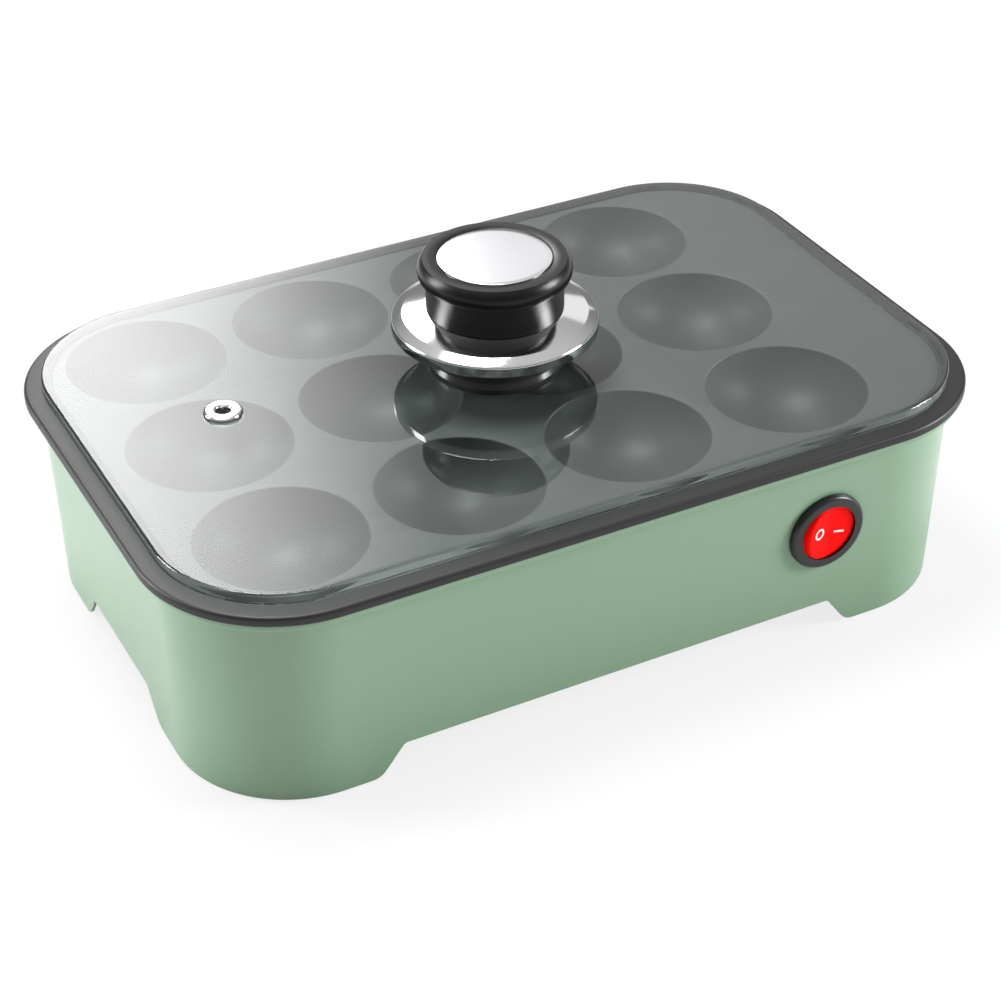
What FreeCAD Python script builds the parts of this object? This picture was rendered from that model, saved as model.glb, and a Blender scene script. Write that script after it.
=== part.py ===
"""Electric takoyaki maker with a lift-off glass lid, as a parametric document of separate pieces.

Frame: millimetres, +Z up, origin on the table under the middle of the cooking plate's rim. X runs along the
long side, and the side with the switch faces -Y. Each function below makes one piece or one set of alike pieces.
"""
import FreeCAD, Part
import math
import os

import Sketcher
from FreeCAD import Placement, Rotation, Vector

# The driving dimensions, in millimetres. Everything else is worked out from them.
SIZES = {
    # Cooking plate: a die-cast tray whose flange is the rim of the appliance.
    "rim_length": 245.0,
    "rim_width": 162.0,
    "rim_corner": 39.5,
    "rim_top": 64.0,
    "flange_thickness": 2.6,
    "flange_rounding": 1.0,
    "flange_overhang": 4.2,
    "ledge_width": 8.0,
    "plate_recess": 0.8,
    "plate_thickness": 3.0,
    "plate_clearance": 0.4,
    # Cups: 4 columns by 3 rows of spherical hollows that fill the recess up to these lands, wider at the right.
    "land_left": 6.15,
    "land_right": 26.55,
    "land_side": 2.2,
    "cup_gap_x": 5.7,
    "cup_gap_y": 3.6,
    "cup_shallow": 2.9,
    "cup_wall": 2.2,
    "cup_rounding": 0.7,
    # Housing: a drawn sheet-steel skirt that widens upwards.
    "wall_lean": 1.5,
    "shell_wall": 1.0,
    "shell_lift": 0.6,
    "bead_height": 2.4,
    "bead_projection": 3.3,
    "bead_rounding": 0.9,
    "seat_width": 4.0,
    "seat_thickness": 1.0,
    "seat_gap": 0.02,
    "foot_cut_height": 10.0,
    "front_cut_inset": 56.5,
    "side_cut_inset": 60.0,
    "cut_slope": 7.0,
    "foot_rounding": 5.0,
    "cut_rounding": 1.5,
    # Base plate and what stands on it.
    "base_thickness": 1.0,
    "base_gap": 0.8,
    "base_clearance": 0.5,
    "slot_length": 22.0,
    "slot_width": 3.0,
    "slot_pitch": 9.0,
    "slot_end": 0.49,
    "foot_inset_x": 27.5,
    "foot_inset_y": 28.0,
    "foot_top_radius": 9.0,
    "foot_bottom_radius": 7.5,
    "foot_stem_radius": 2.9,
    "foot_barb_radius": 4.0,
    "foot_barb_height": 2.0,
    # Clamping screws between the base plate and the posts under the cooking plate.
    "post_radius": 3.5,
    "post_inset": 14.6,
    "post_end": 40.0,
    "screw_radius": 1.95,
    "screw_head": 4.0,
    "screw_head_height": 2.0,
    "thread_depth": 9.0,
    "thread_gap": 0.05,
    "hole_gap": 0.25,
    # Heat shield.
    "shield_thickness": 0.8,
    "shield_lip": 5.0,
    "shield_left_gap": 6.0,
    "shield_side_gap": 2.7,
    "shield_corner": 26.0,
    "notch_gap": 3.0,
    # Heating element: one tube bent in a hairpin between the cup rows.
    "tube_radius": 3.25,
    "tube_gap": 0.1,
    "tube_bend": 12.0,
    "terminal_inset": 18.5,
    "tube_end": 36.0,
    "pin_radius": 1.5,
    "pin_length": 12.0,
    "bead_ring": 2.8,
    "bead_length": 3.0,
    "strap_width": 8.0,
    "strap_thickness": 1.2,
    "strap_end": 2.9,
    "boss_radius": 2.8,
    "boss_spacing": 7.2,
    "small_screw_radius": 1.25,
    "small_head_radius": 2.6,
    "small_head_height": 1.6,
    "small_depth": 5.0,
    # Thermostat and thermal fuse under the plate, right of the cups.
    "thermostat_inset": 19.5,
    "thermostat_radius": 8.0,
    "thermostat_drop": 1.6,
    "thermostat_height": 10.0,
    "ear_drop": 1.0,
    "ear_thickness": 0.8,
    "ear_spacing": 12.0,
    "ear_width": 7.0,
    "fuse_inset": 34.0,
    "fuse_radius": 2.2,
    "fuse_length": 14.0,
    "fuse_gap": 0.2,
    # Terminal block and cord bush.
    "block_inset_x": 58.5,
    "block_inset_y": 31.0,
    "block_length": 30.0,
    "block_width": 16.0,
    "block_height": 13.0,
    "block_rounding": 1.5,
    "way_pitch": 9.6,
    "way_height": 5.85,
    "way_radius": 2.08,
    "well_radius": 2.6,
    "well_depth": 6.5,
    "cord_inset": 49.5,
    "cord_height": 26.0,
    "cord_bore_radius": 3.5,
    "cord_neck_radius": 5.9,
    "cord_flange_radius": 8.0,
    "cord_flange_thickness": 2.0,
    "cord_flange_taper": 0.8,
    "cord_end_taper": 1.0,
    "cord_inside": 6.0,
    # Rocker switch in the front wall.
    "switch_inset": 60.1,
    "switch_height": 35.6,
    "bezel_radius": 11.7,
    "bezel_height": 2.0,
    "bezel_rounding": 1.3,
    "switch_radius": 9.9,
    "switch_depth": 13.0,
    "switch_back": 2.0,
    "panel_gap": 0.2,
    "rocker_radius": 8.9,
    "rocker_gap": 0.25,
    "rocker_hinge": 1.2,
    "rocker_crown": 3.4,
    "rocker_valley": 2.6,
    "rocker_rear": 3.0,
    "rocker_pin": 1.0,
    "rocker_pin_reach": 9.6,
    "rocker_tilt": 8.0,
    "blade_length": 8.0,
    "blade_width": 6.3,
    "blade_thickness": 0.8,
    "blade_pitch": 5.0,
    # Glass lid and its steam vent.
    "glass_inset": 5.0,
    "glass_thickness": 3.5,
    "glass_rounding": 0.8,
    "vent_inset": 44.5,
    "vent_y": 10.0,
    "vent_barrel_radius": 4.0,
    "vent_bore_radius": 2.1,
    "vent_flange_radius": 5.4,
    "vent_flange_height": 1.2,
    "vent_dome": 0.84,
    "vent_curl": 0.5,
    # Knob: collar, finger guard, grip and steel cap on one screw.
    "collar_radius": 19.0,
    "collar_waist_radius": 18.2,
    "collar_foot": 1.6,
    "guard_seat": 85.5,
    "guard_thickness": 0.8,
    "guard_radius": 28.9,
    "guard_fall": 3.0,
    "guard_skirt": 3.4,
    "guard_rounding": 0.7,
    "grip_radius": 19.2,
    "grip_height": 15.0,
    "grip_flange_radius": 21.4,
    "grip_flange_height": 5.9,
    "grip_shoulder": 4.4,
    "grip_lip": 1.2,
    "cap_radius": 15.9,
    "cap_thickness": 0.9,
    "cap_gap": 0.3,
    "cap_rounding": 0.3,
    "hub_radius": 6.0,
    "rib_wall": 3.0,
    "knob_screw_radius": 2.4,
    "knob_screw_head_radius": 5.0,
    "knob_screw_head_height": 1.8,
    "knob_screw_depth": 10.0,
    "washer_radius": 6.5,
    "washer_thickness": 0.8,
}

COLUMNS = 4
ROWS = 3
SLOT_COLUMNS = 8
TIP_GAP = 1


class Size:
    """A number together with the spreadsheet expression that it is bound to."""

    def __init__(self, value, text):
        self.value = float(value)
        self.text = text

    @staticmethod
    def of(other):
        return other if isinstance(other, Size) else Size(other, f"{float(other):.10g}")

    def join(self, sign, other, value):
        return Size(value, f"({self.text} {sign} {other.text})")

    def __add__(self, other):
        other = Size.of(other)
        return self.join("+", other, self.value + other.value)

    def __radd__(self, other):
        return Size.of(other) + self

    def __sub__(self, other):
        other = Size.of(other)
        return self.join("-", other, self.value - other.value)

    def __rsub__(self, other):
        return Size.of(other) - self

    def __mul__(self, other):
        other = Size.of(other)
        return self.join("*", other, self.value * other.value)

    def __rmul__(self, other):
        return Size.of(other) * self

    def __truediv__(self, other):
        other = Size.of(other)
        return self.join("/", other, self.value / other.value)

    def __neg__(self):
        return Size(-self.value, f"(0 - {self.text})")


def root(size):
    return Size(math.sqrt(size.value), f"sqrt({size.text})")


def smaller(first, second):
    return Size(min(first.value, second.value), f"min({first.text}; {second.text})")


class Sizes:
    """The driving dimensions by name, as bound sizes."""

    def __getattr__(self, name):
        return Size(SIZES[name], "Sizes." + name)


S = Sizes()
ZERO = Size(0, "0")

document = FreeCAD.newDocument("TakoyakiMaker")


def make_sheet():
    sheet = document.addObject("Spreadsheet::Sheet", "Sizes")
    for row, (alias, value) in enumerate(SIZES.items(), 1):
        sheet.set(f"A{row}", alias.replace("_", " "))
        sheet.set(f"B{row}", str(value))
        sheet.setAlias(f"B{row}", alias)
    document.recompute()


def inset(outline, amount):
    """The rounded outline drawn in by an even amount."""
    length, width, corner = outline
    return (length - 2 * amount, width - 2 * amount, corner - amount)


# Levels and outlines that several pieces share.
SHELL_TOP = S.rim_top - S.flange_thickness
WALL_HEIGHT = SHELL_TOP - S.shell_lift
RIM = (S.rim_length, S.rim_width, S.rim_corner)
WALL_TOP = inset(RIM, S.flange_overhang)
WALL_BOTTOM = inset(WALL_TOP, S.wall_lean)
PLATE_TOP = S.rim_top - S.plate_recess
PLATE_BOTTOM = PLATE_TOP - S.plate_thickness
BASE_BOTTOM = S.foot_cut_height + S.base_gap
BASE_TOP = BASE_BOTTOM + S.base_thickness
GLASS_TOP = S.rim_top + S.glass_thickness

# The cups are the largest that fit the recess both along and across, with their lands and gaps.
FREE_LENGTH = S.rim_length - 2 * S.ledge_width - S.land_left - S.land_right - (COLUMNS - 1) * S.cup_gap_x
FREE_WIDTH = S.rim_width - 2 * S.ledge_width - 2 * S.land_side - (ROWS - 1) * S.cup_gap_y
CUP_MOUTH = smaller(FREE_LENGTH / (2 * COLUMNS), FREE_WIDTH / (2 * ROWS))
CUP_DEPTH = CUP_MOUTH - S.cup_shallow
PITCH_X = 2 * CUP_MOUTH + S.cup_gap_x
PITCH_Y = 2 * CUP_MOUTH + S.cup_gap_y

# Each cup is the lower part of a sphere through the mouth circle and the bottom point.
CUP_SPHERE = (CUP_MOUTH * CUP_MOUTH + CUP_DEPTH * CUP_DEPTH) / (2 * CUP_DEPTH)
CUP_CENTRE = PLATE_TOP - CUP_DEPTH + CUP_SPHERE
CUP_OUTSIDE = CUP_SPHERE + S.cup_wall
FIRST_CUP_X = S.ledge_width + S.land_left + CUP_MOUTH - S.rim_length / 2
FIRST_CUP_Y = -PITCH_Y * ((ROWS - 1) / 2)
FIRST_CUP = (FIRST_CUP_X, FIRST_CUP_Y, CUP_CENTRE)

# The posts stand between two cups on the outer side of the first and last rows.
POST_X = FIRST_CUP_X + PITCH_X / 2
POST_Y = S.rim_width / 2 - S.post_inset
POST_STEP_X = 2 * PITCH_X
POST_STEP_Y = 2 * POST_Y

# The heating tube lies in the valley between two cup rows, against four cups at a time.
TUBE_Y = PITCH_Y / 2
TUBE_CENTRE_REACH = CUP_OUTSIDE + S.tube_radius + S.tube_gap
TUBE_Z = CUP_CENTRE - root(TUBE_CENTRE_REACH * TUBE_CENTRE_REACH - TUBE_Y * TUBE_Y)
TERMINAL_X = S.rim_length / 2 - S.terminal_inset
TUBE_RUN = TERMINAL_X - S.tube_bend

# Places that keep their distance from the ends and the sides of the rim.
THERMOSTAT_X = S.rim_length / 2 - S.thermostat_inset
FUSE_Y = S.rim_width / 2 - S.fuse_inset
FOOT_X = S.rim_length / 2 - S.foot_inset_x
FOOT_Y = S.rim_width / 2 - S.foot_inset_y
BLOCK_X = S.rim_length / 2 - S.block_inset_x
BLOCK_Y = S.rim_width / 2 - S.block_inset_y
SWITCH_X = S.rim_length / 2 - S.switch_inset
CORD_X = S.rim_length / 2 - S.cord_inset
VENT_X = S.vent_inset - S.rim_length / 2

EAR_Z = PLATE_BOTTOM - S.thermostat_drop - S.ear_drop
FUSE_Z = PLATE_BOTTOM - S.fuse_gap - S.fuse_radius
SHIELD_TOP = S.post_end
SHIELD_BOTTOM = SHIELD_TOP - S.shield_thickness


def wall_outline(level):
    """The outside of the leaning wall at a height over the table."""
    return inset(WALL_BOTTOM, (S.shell_lift - level) * S.wall_lean / WALL_HEIGHT)


def new_body(label):
    body = document.addObject("PartDesign::Body", label)
    body.Label = label
    body.AllowCompound = True
    return body


def origin_feature(body, role):
    return next(item for item in body.Origin.OriginFeatures if item.Role == role)


def new_sketch(body, name, plane="XY_Plane", level=ZERO):
    """A sketch on one of the body's origin planes, moved along the plane's normal."""
    sketch = body.newObject("Sketcher::SketchObject", name)
    sketch.AttachmentSupport = [(origin_feature(body, plane), "")]
    sketch.MapMode = "FlatFace"
    sketch.setExpression("AttachmentOffset.Base.z", Size.of(level).text)
    return sketch


def fix_point(sketch, geometry, point, x, y):
    """Ties a sketch point to its bound coordinates."""
    for kind, size in (("DistanceX", Size.of(x)), ("DistanceY", Size.of(y))):
        index = sketch.addConstraint(Sketcher.Constraint(kind, -1, 1, geometry, point, size.value))
        sketch.setExpression(f"Constraints[{index}]", size.text)


def fix_radius(sketch, geometry, radius):
    index = sketch.addConstraint(Sketcher.Constraint("Radius", geometry, radius.value))
    sketch.setExpression(f"Constraints[{index}]", radius.text)


def draw_polygon(sketch, points):
    """A closed loop of straight edges through bound points."""
    points = [(Size.of(x), Size.of(y)) for x, y in points]
    first = sketch.GeometryCount
    count = len(points)
    corners = [Vector(x.value, y.value, 0) for x, y in points]
    lines = [Part.LineSegment(corners[i], corners[(i + 1) % count]) for i in range(count)]
    sketch.addGeometry(lines, False)
    joints = [
        Sketcher.Constraint("Coincident", first + i, 2, first + (i + 1) % count, 1) for i in range(count)
    ]
    sketch.addConstraint(joints)
    for i, (x, y) in enumerate(points):
        fix_point(sketch, first + i, 1, x, y)


def draw_circle(sketch, x, y, radius):
    x, y, radius = Size.of(x), Size.of(y), Size.of(radius)
    index = sketch.addGeometry(Part.Circle(Vector(x.value, y.value, 0), Vector(0, 0, 1), radius.value), False)
    fix_point(sketch, index, 3, x, y)
    fix_radius(sketch, index, radius)


def draw_rounded(sketch, outline, centre=(ZERO, ZERO)):
    """A rectangle with four equal round corners."""
    length, width, corner = (Size.of(item) for item in outline)
    middle_x, middle_y = (Size.of(item) for item in centre)
    reach_x = length / 2 - corner
    reach_y = width / 2 - corner
    radius = corner.value
    low = Vector(middle_x.value - reach_x.value, middle_y.value - reach_y.value, 0)
    high = Vector(middle_x.value + reach_x.value, middle_y.value + reach_y.value, 0)
    up = Vector(0, 0, 1)
    quarter = math.pi / 2

    def arc(x, y, start):
        circle = Part.Circle(Vector(x, y, 0), up, radius)
        return Part.ArcOfCircle(circle, start, start + quarter)

    first = sketch.GeometryCount
    shapes = [
        Part.LineSegment(Vector(low.x, low.y - radius, 0), Vector(high.x, low.y - radius, 0)),
        arc(high.x, low.y, -quarter),
        Part.LineSegment(Vector(high.x + radius, low.y, 0), Vector(high.x + radius, high.y, 0)),
        arc(high.x, high.y, 0),
        Part.LineSegment(Vector(high.x, high.y + radius, 0), Vector(low.x, high.y + radius, 0)),
        arc(low.x, high.y, quarter),
        Part.LineSegment(Vector(low.x - radius, high.y, 0), Vector(low.x - radius, low.y, 0)),
        arc(low.x, low.y, 2 * quarter),
    ]
    sketch.addGeometry(shapes, False)
    rules = [
        Sketcher.Constraint("Tangent", first + i, 2, first + (i + 1) % len(shapes), 1) for i in range(len(shapes))
    ]
    rules += [Sketcher.Constraint("Horizontal", first), Sketcher.Constraint("Horizontal", first + 4)]
    rules += [Sketcher.Constraint("Vertical", first + 2), Sketcher.Constraint("Vertical", first + 6)]
    rules += [Sketcher.Constraint("Equal", first + 1, first + i) for i in (3, 5, 7)]
    sketch.addConstraint(rules)
    fix_point(sketch, first + 1, 3, middle_x + reach_x, middle_y - reach_y)
    fix_point(sketch, first + 5, 3, middle_x - reach_x, middle_y + reach_y)
    fix_radius(sketch, first + 1, corner)


def rounded_sketch(body, name, outline, level, centre=(ZERO, ZERO)):
    sketch = new_sketch(body, name, level=level)
    draw_rounded(sketch, outline, centre)
    return sketch


def finish(body, feature):
    """Makes a feature the body's newest one and checks that it worked."""
    body.Tip = feature
    document.recompute()
    if "Invalid" in feature.State or "Error" in feature.State or feature.Shape.isNull():
        raise RuntimeError(f"{body.Label}: {feature.Name} failed: {feature.State}")
    return feature


def must_change(body, build, grows):
    """Runs a step and compares the volume, because a cut that misses shows no error."""
    before = body.Shape.Volume if body.Tip else 0.0
    feature = build()
    after = feature.Shape.Volume
    if (after > before) != grows or abs(after - before) < 1e-3:
        raise RuntimeError(f"{body.Label}: {feature.Name} changed nothing")
    return feature


def pad(body, name, sketch, length, down=False, both_ways=False):
    def build():
        feature = body.newObject("PartDesign::Pad", name)
        feature.Profile = sketch
        feature.setExpression("Length", Size.of(length).text)
        feature.Reversed = down
        if both_ways:
            feature.SideType = "Symmetric"
        return finish(body, feature)

    return must_change(body, build, grows=True)


def pocket(body, name, sketch, length, up=False, both_ways=False):
    """Cuts a sketch into the body, against the sketch's normal unless up is set."""
    def build():
        feature = body.newObject("PartDesign::Pocket", name)
        feature.Profile = sketch
        feature.setExpression("Length", Size.of(length).text)
        feature.Reversed = up
        if both_ways:
            feature.SideType = "Symmetric"
        return finish(body, feature)

    return must_change(body, build, grows=False)


def revolve(body, name, points, plane="XZ_Plane"):
    """A solid of revolution from a closed outline of (radius, height) points."""
    sketch = new_sketch(body, name + "_outline", plane)
    draw_polygon(sketch, points)

    def build():
        feature = body.newObject("PartDesign::Revolution", name)
        feature.Profile = sketch
        feature.ReferenceAxis = (sketch, ["V_Axis"])
        feature.Angle = 360
        return finish(body, feature)

    return must_change(body, build, grows=True)


def loft(body, name, kind, sections):
    def build():
        feature = body.newObject(kind, name)
        feature.Profile = sections[0]
        feature.Sections = sections[1:]
        feature.Ruled = True
        return finish(body, feature)

    return must_change(body, build, grows=kind == "PartDesign::AdditiveLoft")


def primitive(body, name, kind, sizes, offset=(ZERO, ZERO, ZERO)):
    """An additive or subtractive ball or cylinder, placed from the body's origin."""
    def build():
        feature = body.newObject("PartDesign::" + kind, name)
        feature.AttachmentSupport = [(origin_feature(body, "XY_Plane"), "")]
        feature.MapMode = "FlatFace"
        for key, size in sizes.items():
            feature.setExpression(key, size if isinstance(size, str) else Size.of(size).text)
        for key, size in zip("xyz", offset):
            feature.setExpression(f"AttachmentOffset.Base.{key}", Size.of(size).text)
        return finish(body, feature)

    return must_change(body, build, grows=kind.startswith("Additive"))


def grid(body, name, originals, across, along, whole=False):
    """Repeats features, or the whole body, in columns along X and rows along Y."""
    feature = body.newObject("PartDesign::LinearPattern", name)
    if whole:
        feature.TransformMode = "Whole shape"
    else:
        feature.Originals = originals
    feature.Direction = (origin_feature(body, "X_Axis"), [""])
    feature.Direction2 = (origin_feature(body, "Y_Axis"), [""])
    for suffix, (count, step) in (("", across), ("2", along)):
        setattr(feature, "Mode" + suffix, "Spacing")
        setattr(feature, "Occurrences" + suffix, count)
        feature.setExpression("Offset" + suffix, Size.of(step).text)
    # A spacing of -1 follows the offset; the second direction doesn't start out that way.
    feature.Spacings2 = [-1.0] * (along[0] - 1)
    return finish(body, feature)


def fillet(body, name, radius, test):
    """Rounds the edges of the newest feature that pass a test."""
    base = body.Tip
    names = [f"Edge{i}" for i, edge in enumerate(base.Shape.Edges, 1) if test(edge)]
    if not names:
        raise RuntimeError(f"{body.Label}: {name} finds no edge")
    feature = body.newObject("PartDesign::Fillet", name)
    feature.Base = (base, names)
    feature.setExpression("Radius", Size.of(radius).text)
    return finish(body, feature)


def near(value, size, tolerance=0.02):
    return abs(value - Size.of(size).value) < tolerance


def lies_at(edge, level):
    """Whether an edge lies flat at a height."""
    box = edge.BoundBox
    return near(box.ZMin, level) and near(box.ZMax, level)


def is_ring(edge, radius, level, axis="z"):
    """Whether an edge is a full circle of a radius whose centre is at a level of an axis."""
    if edge.Degenerated or not isinstance(edge.Curve, Part.Circle):
        return False
    return near(edge.Curve.Radius, radius) and near(getattr(edge.Curve.Center, axis), level)


def crosses_wall(edge, direction):
    """Whether an edge runs straight through the sheet along a direction."""
    box = edge.BoundBox
    spans = {"x": box.XLength, "y": box.YLength, "z": box.ZLength}
    along = spans.pop(direction)
    return near(along, S.shell_wall, 0.1) and max(spans.values()) < 1e-4


def cooking_plate():
    """Die-cast tray without the lower cups: flange, recessed floor, cup mouths, and posts and bosses underneath."""
    body = new_body("cooking_plate")
    pad(body, "flange", rounded_sketch(body, "flange_outline", RIM, SHELL_TOP), S.flange_thickness)
    step = inset(WALL_TOP, S.shell_wall + S.plate_clearance)
    floor = rounded_sketch(body, "floor_outline", step, PLATE_BOTTOM)
    pad(body, "floor", floor, SHELL_TOP - PLATE_BOTTOM)
    recess = rounded_sketch(body, "recess_outline", inset(RIM, S.ledge_width), S.rim_top)
    pocket(body, "recess", recess, S.plate_recess)

    post = new_sketch(body, "post_outline", level=S.post_end)
    draw_circle(post, POST_X, -POST_Y, S.post_radius)
    post = pad(body, "post", post, PLATE_BOTTOM - S.post_end)
    grid(body, "posts", [post], (2, POST_STEP_X), (2, POST_STEP_Y))

    strap_bosses = new_sketch(body, "strap_boss_outline", level=TUBE_Z)
    for side in (-1, 1):
        draw_circle(strap_bosses, POST_X, -TUBE_Y + side * S.boss_spacing, S.boss_radius)
    strap_bosses = pad(body, "strap_boss", strap_bosses, PLATE_BOTTOM - TUBE_Z)
    grid(body, "strap_bosses", [strap_bosses], (2, POST_STEP_X), (2, 2 * TUBE_Y))

    pads = new_sketch(body, "thermostat_pad_outline", level=PLATE_BOTTOM)
    draw_circle(pads, THERMOSTAT_X, ZERO, S.thermostat_radius)
    pad(body, "thermostat_pad", pads, S.thermostat_drop, down=True)
    ears = new_sketch(body, "ear_boss_outline", level=EAR_Z)
    for side in (-1, 1):
        draw_circle(ears, THERMOSTAT_X, side * S.ear_spacing, S.boss_radius)
    pad(body, "ear_bosses", ears, PLATE_BOTTOM - EAR_Z)
    fuse = new_sketch(body, "fuse_boss_outline", level=FUSE_Z)
    for side in (-1, 1):
        draw_circle(fuse, THERMOSTAT_X, FUSE_Y + side * S.boss_spacing, S.boss_radius)
    pad(body, "fuse_bosses", fuse, PLATE_BOTTOM - FUSE_Z)

    hollow = primitive(body, "cup", "SubtractiveSphere", {"Radius": CUP_SPHERE}, FIRST_CUP)
    grid(body, "cups", [hollow], (COLUMNS, PITCH_X), (ROWS, PITCH_Y))

    thread = new_sketch(body, "thread_outline", level=S.post_end)
    draw_circle(thread, POST_X, -POST_Y, S.screw_radius + S.thread_gap)
    thread = pocket(body, "thread", thread, S.thread_depth + TIP_GAP, up=True)
    grid(body, "threads", [thread], (2, POST_STEP_X), (2, POST_STEP_Y))
    small = S.small_screw_radius + S.thread_gap
    strap_thread = new_sketch(body, "strap_thread_outline", level=TUBE_Z)
    for side in (-1, 1):
        draw_circle(strap_thread, POST_X, -TUBE_Y + side * S.boss_spacing, small)
    strap_thread = pocket(body, "strap_thread", strap_thread, S.small_depth, up=True)
    grid(body, "strap_threads", [strap_thread], (2, POST_STEP_X), (2, 2 * TUBE_Y))
    ear_threads = new_sketch(body, "ear_thread_outline", level=EAR_Z)
    fuse_threads = new_sketch(body, "fuse_thread_outline", level=FUSE_Z)
    for side in (-1, 1):
        draw_circle(ear_threads, THERMOSTAT_X, side * S.ear_spacing, small)
        draw_circle(fuse_threads, THERMOSTAT_X, FUSE_Y + side * S.boss_spacing, small)
    pocket(body, "ear_threads", ear_threads, PLATE_BOTTOM - EAR_Z + S.plate_thickness / 2, up=True)
    pocket(body, "fuse_threads", fuse_threads, PLATE_BOTTOM - FUSE_Z + S.plate_thickness / 2, up=True)

    outer = S.rim_length.value / 2 - S.rim_corner.value
    fillet(body, "flange_edge", S.flange_rounding, lambda edge: lies_at(edge, S.rim_top) and (
        edge.BoundBox.XMax > outer + S.rim_corner.value - 0.1
        or edge.BoundBox.XMin < -outer - S.rim_corner.value + 0.1
        or edge.BoundBox.YMax > S.rim_width.value / 2 - 0.1
        or edge.BoundBox.YMin < -S.rim_width.value / 2 + 0.1))
    fillet(body, "cup_edges", S.cup_rounding, lambda edge: is_ring(edge, CUP_MOUTH, PLATE_TOP))
    return body


def cooking_cups():
    """The part of each cup below the tray's underside, where it runs on into the tray: 12 like shells."""
    body = new_body("cooking_cups")
    sunk = CUP_CENTRE - PLATE_BOTTOM
    outside = {"Radius": CUP_OUTSIDE, "Angle2": f"-asin({(sunk / CUP_OUTSIDE).text})"}
    primitive(body, "outside", "AdditiveSphere", outside, FIRST_CUP)
    primitive(body, "hollow", "SubtractiveSphere", {"Radius": CUP_SPHERE}, FIRST_CUP)
    grid(body, "copies", None, (COLUMNS, PITCH_X), (ROWS, PITCH_Y), whole=True)
    return body


def housing_shell():
    """Drawn steel skirt with a rolled bead at the top and four corner feet."""
    body = new_body("housing_shell")
    low = rounded_sketch(body, "outside_low", WALL_BOTTOM, S.shell_lift)
    high = rounded_sketch(body, "outside_high", WALL_TOP, SHELL_TOP)
    loft(body, "outside", "PartDesign::AdditiveLoft", [low, high])
    bead = rounded_sketch(body, "bead_outline", inset(WALL_TOP, -S.bead_projection), SHELL_TOP - S.bead_height)
    pad(body, "bead", bead, S.bead_height)
    low = rounded_sketch(body, "inside_low", inset(WALL_BOTTOM, S.shell_wall), S.shell_lift)
    high = rounded_sketch(body, "inside_high", inset(WALL_TOP, S.shell_wall), SHELL_TOP)
    loft(body, "inside", "PartDesign::SubtractiveLoft", [low, high])

    for name, plane, half, through in (
        ("front_cut", "XZ_Plane", S.rim_length / 2 - S.front_cut_inset, S.rim_width),
        ("side_cut", "YZ_Plane", S.rim_width / 2 - S.side_cut_inset, S.rim_length),
    ):
        sketch = new_sketch(body, name + "_outline", plane)
        wide = half + S.cut_slope
        draw_polygon(sketch, [
            (-half, S.foot_cut_height),
            (-wide, S.shell_lift),
            (-wide, ZERO),
            (wide, ZERO),
            (wide, S.shell_lift),
            (half, S.foot_cut_height),
        ])
        pocket(body, name, sketch, through, both_ways=True)

    sketch = new_sketch(body, "switch_hole_outline", "XZ_Plane")
    draw_circle(sketch, SWITCH_X, S.switch_height, S.switch_radius + S.panel_gap)
    pocket(body, "switch_hole", sketch, S.rim_width / 2, up=True)
    sketch = new_sketch(body, "cord_hole_outline", "XZ_Plane")
    draw_circle(sketch, CORD_X, S.cord_height, S.cord_neck_radius + S.panel_gap)
    pocket(body, "cord_hole", sketch, S.rim_width / 2)

    def is_foot_corner(edge):
        level = edge.BoundBox.ZMin
        return near(level, S.shell_lift) and (crosses_wall(edge, "y") or crosses_wall(edge, "x"))

    def is_cut_corner(edge):
        level = edge.BoundBox.ZMin
        return near(level, S.foot_cut_height) and (crosses_wall(edge, "y") or crosses_wall(edge, "x"))

    fillet(body, "foot_corners", S.foot_rounding, is_foot_corner)
    fillet(body, "cut_corners", S.cut_rounding, is_cut_corner)
    reach = (S.rim_width / 2 - S.flange_overhang + S.bead_projection).value

    def is_bead_edge(edge):
        box = edge.BoundBox
        outside = box.YMax > reach - 0.1 or box.YMin < 0.1 - reach
        return outside and near(box.ZMax, SHELL_TOP) and near(box.ZMin, SHELL_TOP)

    fillet(body, "bead_top", S.bead_rounding, is_bead_edge)
    return body


def seat_ring():
    """Flat steel ring spot-welded inside the skirt, which the base plate is drawn up against."""
    body = new_body("seat_ring")
    outline = inset(wall_outline(BASE_TOP), S.shell_wall + S.seat_gap)
    seat = rounded_sketch(body, "ring_outline", outline, BASE_TOP)
    draw_rounded(seat, inset(WALL_BOTTOM, S.shell_wall + S.seat_width))
    pad(body, "ring", seat, S.seat_thickness)
    return body


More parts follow.
